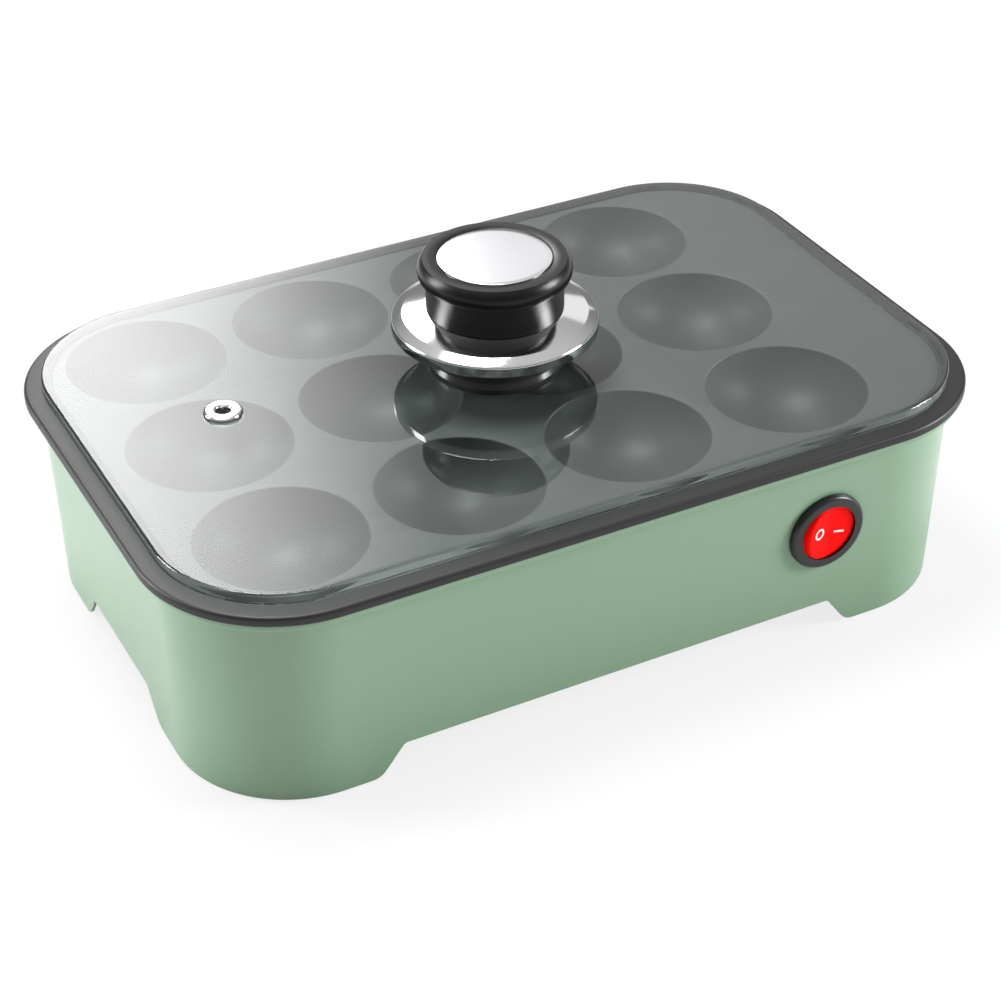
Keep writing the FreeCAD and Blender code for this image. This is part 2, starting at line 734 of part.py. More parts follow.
def base_plate():
    """Steel bottom cover with vent slots, held up against the housing's seat by the clamping screws."""
    body = new_body("base_plate")
    outline = inset(wall_outline(BASE_BOTTOM), S.shell_wall + S.base_clearance)
    pad(body, "sheet", rounded_sketch(body, "sheet_outline", outline, BASE_BOTTOM), S.base_thickness)
    hole = new_sketch(body, "screw_hole_outline", level=BASE_BOTTOM)
    draw_circle(hole, POST_X, -POST_Y, S.screw_radius + S.hole_gap)
    hole = pocket(body, "screw_hole", hole, S.base_thickness, up=True)
    grid(body, "screw_holes", [hole], (2, POST_STEP_X), (2, POST_STEP_Y))
    hole = new_sketch(body, "foot_hole_outline", level=BASE_BOTTOM)
    draw_circle(hole, -FOOT_X, -FOOT_Y, S.foot_stem_radius + S.thread_gap)
    hole = pocket(body, "foot_hole", hole, S.base_thickness, up=True)
    grid(body, "foot_holes", [hole], (2, 2 * FOOT_X), (2, 2 * FOOT_Y))
    slot = new_sketch(body, "slot_outline", level=BASE_BOTTOM)
    step_y = S.slot_length + S.slot_length / 2
    first = (-S.slot_pitch * ((SLOT_COLUMNS - 1) / 2), -step_y / 2)
    draw_rounded(slot, (S.slot_width, S.slot_length, S.slot_width * S.slot_end), first)
    slot = pocket(body, "slot", slot, S.base_thickness, up=True)
    grid(body, "slots", [slot], (SLOT_COLUMNS, S.slot_pitch), (2, step_y))
    return body


def rubber_foot(label, side_x, side_y):
    """Push-in foot: a cone under the base plate with a barbed stem through it."""
    body = new_body(label)
    top = BASE_BOTTOM
    above = BASE_TOP + S.thread_gap
    revolve(body, "foot", [
        (ZERO, ZERO),
        (S.foot_bottom_radius, ZERO),
        (S.foot_top_radius, top),
        (S.foot_stem_radius, top),
        (S.foot_stem_radius, above),
        (S.foot_barb_radius, above),
        (S.foot_stem_radius, above + S.foot_barb_height),
        (ZERO, above + S.foot_barb_height),
    ])
    body.setExpression("Placement.Base.x", (side_x * FOOT_X).text)
    body.setExpression("Placement.Base.y", (side_y * FOOT_Y).text)
    document.recompute()
    return body


def spacer_tubes():
    """Four steel tubes between the base plate and the heat shield."""
    body = new_body("spacer_tubes")
    tube = new_sketch(body, "tube_outline", level=BASE_TOP)
    draw_circle(tube, POST_X, -POST_Y, S.post_radius)
    draw_circle(tube, POST_X, -POST_Y, S.screw_radius + S.hole_gap)
    tube = pad(body, "tube", tube, SHIELD_BOTTOM - BASE_TOP)
    grid(body, "tubes", [tube], (2, POST_STEP_X), (2, POST_STEP_Y))
    return body


def screw_points(radius, head, head_height, head_level, tip_level):
    """Half outline of a screw whose head hangs under a level and whose shank goes up."""
    return [
        (ZERO, head_level - head_height),
        (head, head_level - head_height),
        (head, head_level),
        (radius, head_level),
        (radius, tip_level),
        (ZERO, tip_level),
    ]


def screw_set(label, first, radius, head, head_height, head_level, tip_level, across, along):
    """Alike screws standing in columns and rows, made at the first place and repeated."""
    body = new_body(label)
    revolve(body, "screw", screw_points(radius, head, head_height, head_level, tip_level))
    if across[0] * along[0] > 1:
        grid(body, "screws", None, across, along, whole=True)
    body.setExpression("Placement.Base.x", first[0].text)
    body.setExpression("Placement.Base.y", first[1].text)
    document.recompute()
    return body


def heat_shield():
    """Thin steel tray under the cups, lipped downwards, notched round the switch."""
    body = new_body("heat_shield")
    wall = wall_outline(SHIELD_BOTTOM)
    left = -wall[0] / 2 + S.shell_wall + S.shield_left_gap
    right = TERMINAL_X - S.tube_radius - S.shield_left_gap
    width = wall[1] - 2 * (S.shell_wall + S.shield_side_gap)
    centre = ((left + right) / 2, ZERO)
    outline = (right - left, width, S.shield_corner)
    pad(body, "sheet", rounded_sketch(body, "sheet_outline", outline, SHIELD_BOTTOM, centre), S.shield_thickness)
    lip = rounded_sketch(body, "lip_outline", outline, SHIELD_BOTTOM, centre)
    draw_rounded(lip, inset(outline, S.shield_thickness), centre)
    pad(body, "lip", lip, S.shield_lip, down=True)
    notch = new_sketch(body, "notch_outline", level=SHIELD_TOP)
    half = S.switch_radius + S.notch_gap
    deep = -width / 2 + S.switch_depth + S.blade_length
    draw_polygon(notch, [
        (SWITCH_X - half, -width / 2 - 1),
        (SWITCH_X + half, -width / 2 - 1),
        (SWITCH_X + half, deep),
        (SWITCH_X - half, deep),
    ])
    pocket(body, "notch", notch, S.shield_thickness + S.shield_lip)
    hole = new_sketch(body, "hole_outline", level=SHIELD_TOP)
    draw_circle(hole, POST_X, -POST_Y, S.screw_radius + S.hole_gap)
    hole = pocket(body, "hole", hole, S.shield_thickness)
    grid(body, "holes", [hole], (2, POST_STEP_X), (2, POST_STEP_Y))
    return body


def heating_element():
    """Sheathed tube: two straight runs, a half turn on the left and a bend down to each terminal."""
    feature = document.addObject("Part::Feature", "heating_element")
    feature.Label = "heating_element"
    left, right, level = FIRST_CUP_X.value, TUBE_RUN.value, TUBE_Z.value
    bend, side, low = S.tube_bend.value, TUBE_Y.value, S.tube_end.value
    slant = math.sqrt(0.5)

    def drop(y):
        return [Vector(right + bend, y, low), Vector(right + bend, y, level - bend)]

    def corner(y):
        middle = Vector(right + bend * slant, y, level - bend + bend * slant)
        return Vector(right + bend, y, level - bend), middle, Vector(right, y, level)

    front_low, front_top = drop(-side)
    back_low, back_top = drop(side)
    edges = [
        Part.LineSegment(front_low, front_top),
        Part.Arc(*corner(-side)),
        Part.LineSegment(Vector(right, -side, level), Vector(left, -side, level)),
        Part.Arc(Vector(left, -side, level), Vector(left - side, 0, level), Vector(left, side, level)),
        Part.LineSegment(Vector(left, side, level), Vector(right, side, level)),
        Part.Arc(*reversed(corner(side))),
        Part.LineSegment(back_top, back_low),
    ]
    path = Part.Wire([edge.toShape() for edge in edges])
    section = Part.Wire(Part.makeCircle(S.tube_radius.value, front_low, Vector(0, 0, 1)))
    feature.Shape = path.makePipeShell([section], True, False)
    return feature


def element_pins():
    """Two threaded cold pins that come out of the tube's ends."""
    body = new_body("element_pins")
    pin = new_sketch(body, "pin_outline", level=S.tube_end - S.pin_length)
    draw_circle(pin, TERMINAL_X, -TUBE_Y, S.pin_radius)
    pin = pad(body, "pin", pin, S.pin_length)
    grid(body, "pins", [pin], (1, PITCH_X), (2, 2 * TUBE_Y))
    return body


def element_beads():
    """Ceramic rings that close the tube's ends round the pins."""
    body = new_body("element_beads")
    ring = new_sketch(body, "ring_outline", level=S.tube_end - S.bead_length)
    draw_circle(ring, TERMINAL_X, -TUBE_Y, S.bead_ring)
    draw_circle(ring, TERMINAL_X, -TUBE_Y, S.pin_radius + S.thread_gap)
    ring = pad(body, "ring", ring, S.bead_length)
    grid(body, "rings", [ring], (1, PITCH_X), (2, 2 * TUBE_Y))
    return body


def saddle(label, radius, place, across, along):
    """Sheet strap with a round saddle under a tube and two ears screwed to bosses."""
    body = new_body(label)
    inner = radius + S.thread_gap
    outer = inner + S.strap_thickness
    strap_reach = S.boss_spacing + S.strap_end
    ears = new_sketch(body, "ears_outline", "YZ_Plane")
    draw_polygon(ears, [
        (-strap_reach, ZERO),
        (-strap_reach, -S.strap_thickness),
        (strap_reach, -S.strap_thickness),
        (strap_reach, ZERO),
    ])
    pad(body, "ears", ears, S.strap_width, both_ways=True)
    back = new_sketch(body, "back_outline", "YZ_Plane")
    draw_circle(back, ZERO, ZERO, outer)
    pad(body, "back", back, S.strap_width, both_ways=True)
    channel = new_sketch(body, "channel_outline", "YZ_Plane")
    draw_circle(channel, ZERO, ZERO, inner)
    pocket(body, "channel", channel, S.strap_width, both_ways=True)
    above = new_sketch(body, "above_outline", "YZ_Plane")
    draw_polygon(above, [(-outer, ZERO), (outer, ZERO), (outer, outer + 1), (-outer, outer + 1)])
    pocket(body, "above", above, S.strap_width, both_ways=True)
    holes = new_sketch(body, "hole_outline")
    for side in (-1, 1):
        draw_circle(holes, ZERO, side * S.boss_spacing, S.small_screw_radius + S.hole_gap)
    pocket(body, "holes", holes, S.strap_thickness)
    if across[0] * along[0] > 1:
        grid(body, "copies", None, across, along, whole=True)
    for key, size in zip("xyz", place):
        body.setExpression(f"Placement.Base.{key}", Size.of(size).text)
    document.recompute()
    return body


def thermostat():
    """Snap-disc thermostat: sensing cap against the plate, ears, body and two blades."""
    body = new_body("thermostat")
    top = PLATE_BOTTOM - S.thermostat_drop
    cap = new_sketch(body, "cap_outline", level=top)
    draw_circle(cap, ZERO, ZERO, S.thermostat_radius)
    pad(body, "cap", cap, S.thermostat_height, down=True)
    ears = new_sketch(body, "ears_outline", level=EAR_Z)
    length = 2 * (S.ear_spacing + S.ear_width / 2)
    draw_rounded(ears, (S.ear_width, length, S.ear_width * S.slot_end))
    pad(body, "ears", ears, S.ear_thickness, down=True)
    holes = new_sketch(body, "hole_outline", level=EAR_Z)
    for side in (-1, 1):
        draw_circle(holes, ZERO, side * S.ear_spacing, S.small_screw_radius + S.hole_gap)
    pocket(body, "holes", holes, S.ear_thickness)
    blades = new_sketch(body, "blade_outline", level=top - S.thermostat_height)
    for side in (-1, 1):
        middle = side * S.thermostat_radius / 2
        draw_polygon(blades, [
            (middle - S.blade_thickness / 2, -S.blade_width / 2),
            (middle + S.blade_thickness / 2, -S.blade_width / 2),
            (middle + S.blade_thickness / 2, S.blade_width / 2),
            (middle - S.blade_thickness / 2, S.blade_width / 2),
        ])
    pad(body, "blades", blades, S.blade_length, down=True)
    body.setExpression("Placement.Base.x", THERMOSTAT_X.text)
    document.recompute()
    return body


def thermal_fuse():
    """One-shot fuse lying along X under the plate."""
    body = new_body("thermal_fuse")
    section = new_sketch(body, "section", "YZ_Plane")
    draw_circle(section, ZERO, ZERO, S.fuse_radius)
    pad(body, "case", section, S.fuse_length, both_ways=True)
    for key, size in zip("xyz", (THERMOSTAT_X, FUSE_Y, FUSE_Z)):
        body.setExpression(f"Placement.Base.{key}", size.text)
    document.recompute()
    return body


def terminal_block():
    """Three-way ceramic block on the base plate, with wire ways along Y and screw wells on top."""
    body = new_body("terminal_block")
    outline = (S.block_length, S.block_width, S.block_rounding)
    pad(body, "block", rounded_sketch(body, "block_outline", outline, ZERO), S.block_height)
    ways = new_sketch(body, "way_outline", "XZ_Plane")
    wells = new_sketch(body, "well_outline", level=S.block_height)
    for place in (-1, 0, 1):
        draw_circle(ways, place * S.way_pitch, S.way_height, S.way_radius)
        draw_circle(wells, place * S.way_pitch, ZERO, S.well_radius)
    pocket(body, "ways", ways, S.block_width, both_ways=True)
    pocket(body, "wells", wells, S.well_depth)
    for key, size in zip("xyz", (BLOCK_X, BLOCK_Y, BASE_TOP)):
        body.setExpression(f"Placement.Base.{key}", size.text)
    document.recompute()
    return body


def wall_placement(x, height, front):
    """A frame on the leaning wall's outside: its Y axis is square to the wall."""
    lean = math.degrees(math.atan2(S.wall_lean.value, WALL_HEIGHT.value))
    reach = wall_outline(Size.of(height))[1].value / 2
    tilt = Rotation(Vector(1, 0, 0), lean if front else -lean)
    place = Vector(x.value, -reach if front else reach, height.value)
    return Placement(place, tilt)


def cord_bush():
    """Rubber bush in the back wall that a mains cord passes through."""
    body = new_body("cord_bush")
    inside = S.shell_wall + S.panel_gap / 2
    revolve(body, "bush", [
        (S.cord_bore_radius, S.cord_flange_thickness),
        (S.cord_bore_radius, -S.cord_inside),
        (S.cord_flange_radius - S.cord_end_taper, -S.cord_inside),
        (S.cord_flange_radius, -inside),
        (S.cord_neck_radius, -inside),
        (S.cord_neck_radius, ZERO),
        (S.cord_flange_radius, ZERO),
        (S.cord_flange_radius - S.cord_flange_taper, S.cord_flange_thickness),
    ], plane="XY_Plane")
    body.Placement = wall_placement(CORD_X, S.cord_height, front=False)
    return body


def switch_body():
    """Round switch case behind a bezel; the rocker turns in its ball-shaped hollow."""
    body = new_body("switch_body")
    revolve(body, "case", [
        (ZERO, -S.bezel_height),
        (S.bezel_radius, -S.bezel_height),
        (S.bezel_radius, ZERO),
        (S.switch_radius, ZERO),
        (S.switch_radius, S.switch_depth),
        (ZERO, S.switch_depth),
    ], plane="XY_Plane")
    hollow = S.rocker_radius + S.rocker_gap
    centre = (ZERO, S.rocker_hinge, ZERO)
    primitive(body, "ball_hollow", "SubtractiveSphere", {"Radius": hollow}, centre)
    well = new_sketch(body, "well_outline", "XZ_Plane", -S.rocker_hinge)
    draw_circle(well, ZERO, ZERO, hollow)
    pocket(body, "well", well, S.switch_depth - S.switch_back - S.rocker_hinge)
    pin = {"Radius": S.rocker_pin + S.thread_gap, "Height": 2 * S.switch_radius}
    primitive(body, "pin_hole", "SubtractiveCylinder", pin, (ZERO, S.rocker_hinge, -S.switch_radius))
    fillet(body, "bezel_edge", S.bezel_rounding, lambda edge: is_ring(edge, S.bezel_radius, -S.bezel_height, "y"))
    body.Placement = wall_placement(SWITCH_X, S.switch_height, front=True)
    return body


def switch_terminals():
    """Three push-on blades out of the back of the switch."""
    body = new_body("switch_terminals")
    sketch = new_sketch(body, "blade_outline", "XZ_Plane", -S.switch_depth)
    for place in (-1, 0, 1):
        middle = place * S.blade_pitch
        draw_polygon(sketch, [
            (middle - S.blade_thickness / 2, -S.blade_width / 2),
            (middle + S.blade_thickness / 2, -S.blade_width / 2),
            (middle + S.blade_thickness / 2, S.blade_width / 2),
            (middle - S.blade_thickness / 2, S.blade_width / 2),
        ])
    pad(body, "blades", sketch, S.blade_length, down=True)
    body.Placement = wall_placement(SWITCH_X, S.switch_height, front=True)
    return body


def switch_rocker():
    """Rocker cut from a ball about its hinge, with a hollow face and two pivot pins."""
    body = new_body("switch_rocker")
    primitive(body, "ball", "AdditiveSphere", {"Radius": S.rocker_radius})
    reach = 2 * S.rocker_radius
    face = new_sketch(body, "face_outline")
    draw_polygon(face, [
        (-reach, -reach),
        (reach, -reach),
        (reach, -S.rocker_crown * 2 + S.rocker_valley),
        (ZERO, -S.rocker_valley),
        (-reach, -S.rocker_crown * 2 + S.rocker_valley),
    ])
    pocket(body, "face", face, 2 * reach, both_ways=True)
    rear = new_sketch(body, "rear_outline", "XZ_Plane", -S.rocker_rear)
    draw_circle(rear, ZERO, ZERO, S.rocker_radius)
    pocket(body, "rear", rear, S.rocker_radius)
    pin = {"Radius": S.rocker_pin, "Height": 2 * S.rocker_pin_reach}
    primitive(body, "pin", "AdditiveCylinder", pin, (ZERO, ZERO, -S.rocker_pin_reach))
    frame = wall_placement(SWITCH_X, S.switch_height, front=True)
    hinge = frame.multVec(Vector(0, S.rocker_hinge.value, 0))
    turned = frame.Rotation * Rotation(Vector(0, 0, 1), S.rocker_tilt.value)
    body.Placement = Placement(hinge, turned)
    return body


def glass_lid():
    """Tempered glass plate with rounded edges, a vent hole and a hole for the knob's screw."""
    body = new_body("glass_lid")
    outline = inset(RIM, S.glass_inset)
    pad(body, "pane", rounded_sketch(body, "pane_outline", outline, S.rim_top), S.glass_thickness)
    fillet(body, "edges", S.glass_rounding, lambda edge: lies_at(edge, S.rim_top) or lies_at(edge, GLASS_TOP))
    holes = new_sketch(body, "hole_outline", level=GLASS_TOP)
    draw_circle(holes, ZERO, ZERO, S.knob_screw_radius + S.hole_gap)
    draw_circle(holes, VENT_X, S.vent_y, S.vent_barrel_radius + S.hole_gap)
    pocket(body, "holes", holes, S.glass_thickness)
    return body


def steam_vent():
    """Steel eyelet through the glass, curled over underneath."""
    body = new_body("steam_vent")
    top = GLASS_TOP + S.vent_flange_height
    revolve(body, "eyelet", [
        (S.vent_bore_radius, S.rim_top - S.vent_curl),
        (S.vent_flange_radius, S.rim_top - S.vent_curl),
        (S.vent_flange_radius, S.rim_top),
        (S.vent_barrel_radius, S.rim_top),
        (S.vent_barrel_radius, GLASS_TOP),
        (S.vent_flange_radius, GLASS_TOP),
        (S.vent_flange_radius, top),
        (S.vent_bore_radius, top),
    ])
    fillet(body, "dome", S.vent_dome, lambda edge: is_ring(edge, S.vent_flange_radius, top)
           or is_ring(edge, S.vent_bore_radius, top))
    body.setExpression("Placement.Base.x", VENT_X.text)
    body.setExpression("Placement.Base.y", S.vent_y.text)
    document.recompute()
    return body


GUARD_UNDER = S.guard_seat - S.guard_thickness
GRIP_TOP = S.guard_seat + S.grip_height
BORE = S.knob_screw_radius + S.thread_gap


def knob_collar():
    """Heat-proof spacer between the glass and the finger guard, hollow round its hub."""
    body = new_body("knob_collar")
    roof = GUARD_UNDER - S.rib_wall
    revolve(body, "collar", [
        (BORE, GLASS_TOP),
        (S.hub_radius, GLASS_TOP),
        (S.hub_radius, roof),
        (S.collar_waist_radius - S.rib_wall, roof),
        (S.collar_waist_radius - S.rib_wall, GLASS_TOP),
        (S.collar_radius, GLASS_TOP),
        (S.collar_radius, GLASS_TOP + S.collar_foot),
        (S.collar_waist_radius, GLASS_TOP + 2 * S.collar_foot),
        (S.collar_waist_radius, GUARD_UNDER),
        (BORE, GUARD_UNDER),
    ])
    foot_top = GLASS_TOP + S.collar_foot
    fillet(body, "foot_edge", S.guard_rounding, lambda edge: is_ring(edge, S.collar_radius, foot_top))
    return body


def finger_guard():
    """Pressed steel dish that keeps fingers off the glass, with its rim turned down."""
    body = new_body("finger_guard")
    seat = S.guard_seat
    edge_top = seat - S.guard_fall
    thin = S.guard_thickness
    revolve(body, "dish", [
        (BORE, GUARD_UNDER),
        (S.grip_radius, GUARD_UNDER),
        (S.guard_radius - thin, edge_top - thin),
        (S.guard_radius - thin, edge_top - S.guard_skirt),
        (S.guard_radius, edge_top - S.guard_skirt),
        (S.guard_radius, edge_top),
        (S.grip_radius, seat),
        (BORE, seat),
    ])
    fillet(body, "rim_edge", S.guard_rounding, lambda edge: is_ring(edge, S.guard_radius, edge_top))
    return body


def knob_grip():
    """Mushroom grip with a domed shoulder, a seat for the steel cap and a blind screw hub."""
    body = new_body("knob_grip")
    under = GRIP_TOP - S.grip_flange_height
    floor = GRIP_TOP - S.cap_thickness
    seat = S.cap_radius + S.cap_gap
    roof = floor - S.rib_wall
    revolve(body, "grip", [
        (BORE, S.guard_seat),
        (S.hub_radius, S.guard_seat),
        (S.hub_radius, roof),
        (S.grip_radius - S.rib_wall, roof),
        (S.grip_radius - S.rib_wall, S.guard_seat),
        (S.grip_radius, S.guard_seat),
        (S.grip_radius, under),
        (S.grip_flange_radius, under),
        (S.grip_flange_radius, GRIP_TOP),
        (seat, GRIP_TOP),
        (seat, floor),
        (ZERO, floor),
        (ZERO, S.guard_seat + S.knob_screw_depth + TIP_GAP),
        (BORE, S.guard_seat + S.knob_screw_depth + TIP_GAP),
    ])
    fillet(body, "shoulder", S.grip_shoulder, lambda edge: is_ring(edge, S.grip_flange_radius, GRIP_TOP))
    fillet(body, "lower_edge", S.grip_lip, lambda edge: is_ring(edge, S.grip_flange_radius, under))
    return body


def knob_cap():
    """Steel disc let into the top of the grip."""
    body = new_body("knob_cap")
    floor = GRIP_TOP - S.cap_thickness
    top = GRIP_TOP + S.cap_gap
    revolve(body, "disc", [(ZERO, floor), (S.cap_radius, floor), (S.cap_radius, top), (ZERO, top)])
    fillet(body, "edge", S.cap_rounding, lambda edge: is_ring(edge, S.cap_radius, top))
    return body


def knob_screw():
    """Screw from under the glass up into the grip."""
    body = new_body("knob_screw")
    head_level = S.rim_top - S.washer_thickness
    tip = S.guard_seat + S.knob_screw_depth
    head = (S.knob_screw_head_radius, S.knob_screw_head_height)
    revolve(body, "screw", screw_points(S.knob_screw_radius, *head, head_level, tip))
    return body


def knob_washer():
    """Silicone washer between the screw's head and the glass."""
    body = new_body("knob_washer")
    ring = new_sketch(body, "ring_outline", level=S.rim_top)
    draw_circle(ring, ZERO, ZERO, S.washer_radius)
    draw_circle(ring, ZERO, ZERO, BORE)
    pad(body, "ring", ring, S.washer_thickness, down=True)
    return body


def make_pieces():
    """Every piece of the appliance, in the order it would be put together."""
    one = (1, PITCH_X)
    strap_low = TUBE_Z - S.strap_thickness
    strap_tip = TUBE_Z + S.small_depth - TIP_GAP
    fuse_low = FUSE_Z - S.strap_thickness
    small = (S.small_screw_radius, S.small_head_radius, S.small_head_height)
    pieces = [
        housing_shell(),
        cooking_plate(),
        cooking_cups(),
        seat_ring(),
        base_plate(),
        heat_shield(),
        spacer_tubes(),
        screw_set("clamp_screws", (POST_X, -POST_Y), S.screw_radius, S.screw_head, S.screw_head_height,
                  BASE_BOTTOM, S.post_end + S.thread_depth, (2, POST_STEP_X), (2, POST_STEP_Y)),
        heating_element(),
        element_pins(),
        element_beads(),
        saddle("element_straps", S.tube_radius, (POST_X, -TUBE_Y, TUBE_Z), (2, POST_STEP_X), (2, 2 * TUBE_Y)),
        screw_set("strap_screws_outer", (POST_X, -TUBE_Y - S.boss_spacing), *small, strap_low, strap_tip,
                  (2, POST_STEP_X), (2, 2 * (TUBE_Y + S.boss_spacing))),
        screw_set("strap_screws_inner", (POST_X, -TUBE_Y + S.boss_spacing), *small, strap_low, strap_tip,
                  (2, POST_STEP_X), (2, 2 * (TUBE_Y - S.boss_spacing))),
        thermostat(),
        screw_set("thermostat_screws", (THERMOSTAT_X, -S.ear_spacing), *small, EAR_Z - S.ear_thickness,
                  PLATE_BOTTOM, one, (2, 2 * S.ear_spacing)),
        thermal_fuse(),
        saddle("fuse_clip", S.fuse_radius, (THERMOSTAT_X, FUSE_Y, FUSE_Z), one, one),
        screw_set("fuse_clip_screws", (THERMOSTAT_X, FUSE_Y - S.boss_spacing), *small, fuse_low, PLATE_BOTTOM,
                  one, (2, 2 * S.boss_spacing)),
        terminal_block(),
        cord_bush(),
        switch_body(),
        switch_terminals(),
        switch_rocker(),
        glass_lid(),
        steam_vent(),
        knob_collar(),
        finger_guard(),
        knob_grip(),
        knob_cap(),
        knob_screw(),
        knob_washer(),
    ]
    for label, side_x, side_y in (
        ("foot_front_left", -1, -1),
        ("foot_front_right", 1, -1),
        ("foot_rear_left", -1, 1),
        ("foot_rear_right", 1, 1),
    ):
        pieces.append(rubber_foot(label, side_x, side_y))
    return pieces


def check_and_export(pieces):
    """Refuses a failed document, then writes one STEP file for each piece."""
    document.recompute()
    for item in document.Objects:
        if "Invalid" in item.State or "Error" in item.State:
            raise RuntimeError(f"{item.Label}: {item.State}")
    for piece in pieces:
        if piece.Shape.isNull() or not piece.Shape.isValid():
            raise RuntimeError(f"{piece.Label} is not a valid shape")
    os.makedirs("parts", exist_ok=True)
    for piece in pieces:
        shape = piece.Shape
        shape.exportStep(f"parts/{piece.Label}.step")
        print(f"{piece.Label}: {len(shape.Solids)} solid(s), {shape.Volume / 1000:.2f} cm3")


make_sheet()
check_and_export(make_pieces())
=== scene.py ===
"""Look of an electric takoyaki maker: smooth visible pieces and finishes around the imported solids.

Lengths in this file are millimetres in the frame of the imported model; surface arrays become metres only when a mesh
is made. Every visible surface is either a profile carried round an outline or a profile spun about an axis.
"""

import logging
import math
from dataclasses import dataclass, field, replace
from enum import Enum

import bmesh
import bpy
import numpy as np
from mathutils import Matrix, Vector
from mathutils.geometry import delaunay_2d_cdt


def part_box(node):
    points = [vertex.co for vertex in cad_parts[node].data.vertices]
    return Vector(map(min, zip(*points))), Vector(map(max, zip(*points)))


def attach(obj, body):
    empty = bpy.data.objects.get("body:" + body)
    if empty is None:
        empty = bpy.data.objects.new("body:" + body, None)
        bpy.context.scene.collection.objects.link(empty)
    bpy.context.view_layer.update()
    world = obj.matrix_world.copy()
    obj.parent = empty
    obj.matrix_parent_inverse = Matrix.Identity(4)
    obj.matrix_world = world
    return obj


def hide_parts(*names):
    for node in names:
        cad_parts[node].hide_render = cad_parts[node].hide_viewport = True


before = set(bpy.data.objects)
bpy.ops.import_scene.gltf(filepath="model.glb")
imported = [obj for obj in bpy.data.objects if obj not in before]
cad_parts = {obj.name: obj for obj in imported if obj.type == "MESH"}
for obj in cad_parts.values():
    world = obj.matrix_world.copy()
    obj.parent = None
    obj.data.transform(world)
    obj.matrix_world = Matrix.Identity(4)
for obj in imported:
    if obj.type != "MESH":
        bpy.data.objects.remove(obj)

LOG = logging.getLogger("takoyaki_maker")
MM = 0.001
SMOOTH_ANGLE = math.radians(32.0)
AXIS_GAP = 0.01
# Name of the face attribute that marks the flange, where the coating gets painted shade.
FLANGE_SHADE_MARK = "rim"
WALL_LEAN = 1.5
BEAD_PROJECTION = 3.3
Array = np.ndarray
Colour = tuple[float, float, float]


class Body(Enum):
    """The bodies that the pieces ride on."""

    BASE = "base"
    LID = "lid"
    ROCKER = "rocker"


def span(node: str) -> tuple[Array, Array]:
    """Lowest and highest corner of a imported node, in millimetres.

    Args:
        node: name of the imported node.

    Returns:
        Two arrays of three numbers.
    """
    low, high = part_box(node)
    return np.array(low) / MM, np.array(high) / MM


# Curves and surfaces


def arc(centre: tuple[float, float], radius: float, start: float, end: float, steps: int = 8) -> Array:
    """Points of a circular arc: centre + radius * (cos, sin), from start to end in degrees.

    Args:
        centre: the arc's centre in the profile's plane.
        radius: its radius.
        start: first angle, in degrees from the first axis.
        end: last angle, in degrees.
        steps: number of intervals.

    Returns:
        Array of steps + 1 points with two coordinates.
    """
    angle = np.radians(np.linspace(start, end, steps + 1))
    return np.column_stack([centre[0] + radius * np.cos(angle), centre[1] + radius * np.sin(angle)])


def rectangle(first: float, last: float, low: float, high: float) -> Array:
    """Four corners of a cross-section, up at the first offset and down at the last."""
    return profile((first, low), (first, high), (last, high), (last, low))


def pin_line(radius: float, low: float, high: float) -> Array:
    """Profile of a plain round pin between two heights."""
    return profile((0.0, low), (radius, low), (radius, high), (0.0, high))


def full_turn(sides: int) -> Array:
    """Equal steps round a whole turn, in radians, without the last one."""
    return np.arange(sides) * 2 * math.pi / sides


def profile(*parts: Array | tuple[float, float]) -> Array:
    """Joins points and arcs, in order, into one profile line."""
    return np.vstack([np.atleast_2d(np.asarray(part, float)) for part in parts])


def soften(line: Array, radii: dict[int, float], steps: int = 6) -> Array:
    """Rounds chosen corners of a profile with arcs tangent to both neighbours.

    A corner with turn a and radius r starts r * tan(a / 2) before its point, and its arc is sampled by turning the
    first normal in equal steps.

    Args:
        line: profile points.
        radii: corner index to radius.
        steps: intervals in each arc.

    Returns:
        The profile with its corners rounded.
    """
    result: list[Array] = []
    for index, point in enumerate(line):
        if index not in radii:
            result.append(point[None])
            continue
        before = line[index - 1] - point
        after = line[(index + 1) % len(line)] - point
        before = before / np.linalg.norm(before)
        after = after / np.linalg.norm(after)
        half = math.acos(float(np.clip(before @ after, -1, 1))) / 2
        reach = radii[index] / math.tan(half)
        middle = before + after
        centre = point + middle / np.linalg.norm(middle) * radii[index] / math.sin(half)
        first = point + before * reach - centre
        last = point + after * reach - centre
        start = math.atan2(first[1], first[0])
        turn = (math.atan2(last[1], last[0]) - start + math.pi) % (2 * math.pi) - math.pi
        angle = start + np.linspace(0, 1, steps + 1) * turn
        result.append(centre + radii[index] * np.column_stack([np.cos(angle), np.sin(angle)]))
    return np.vstack(result)


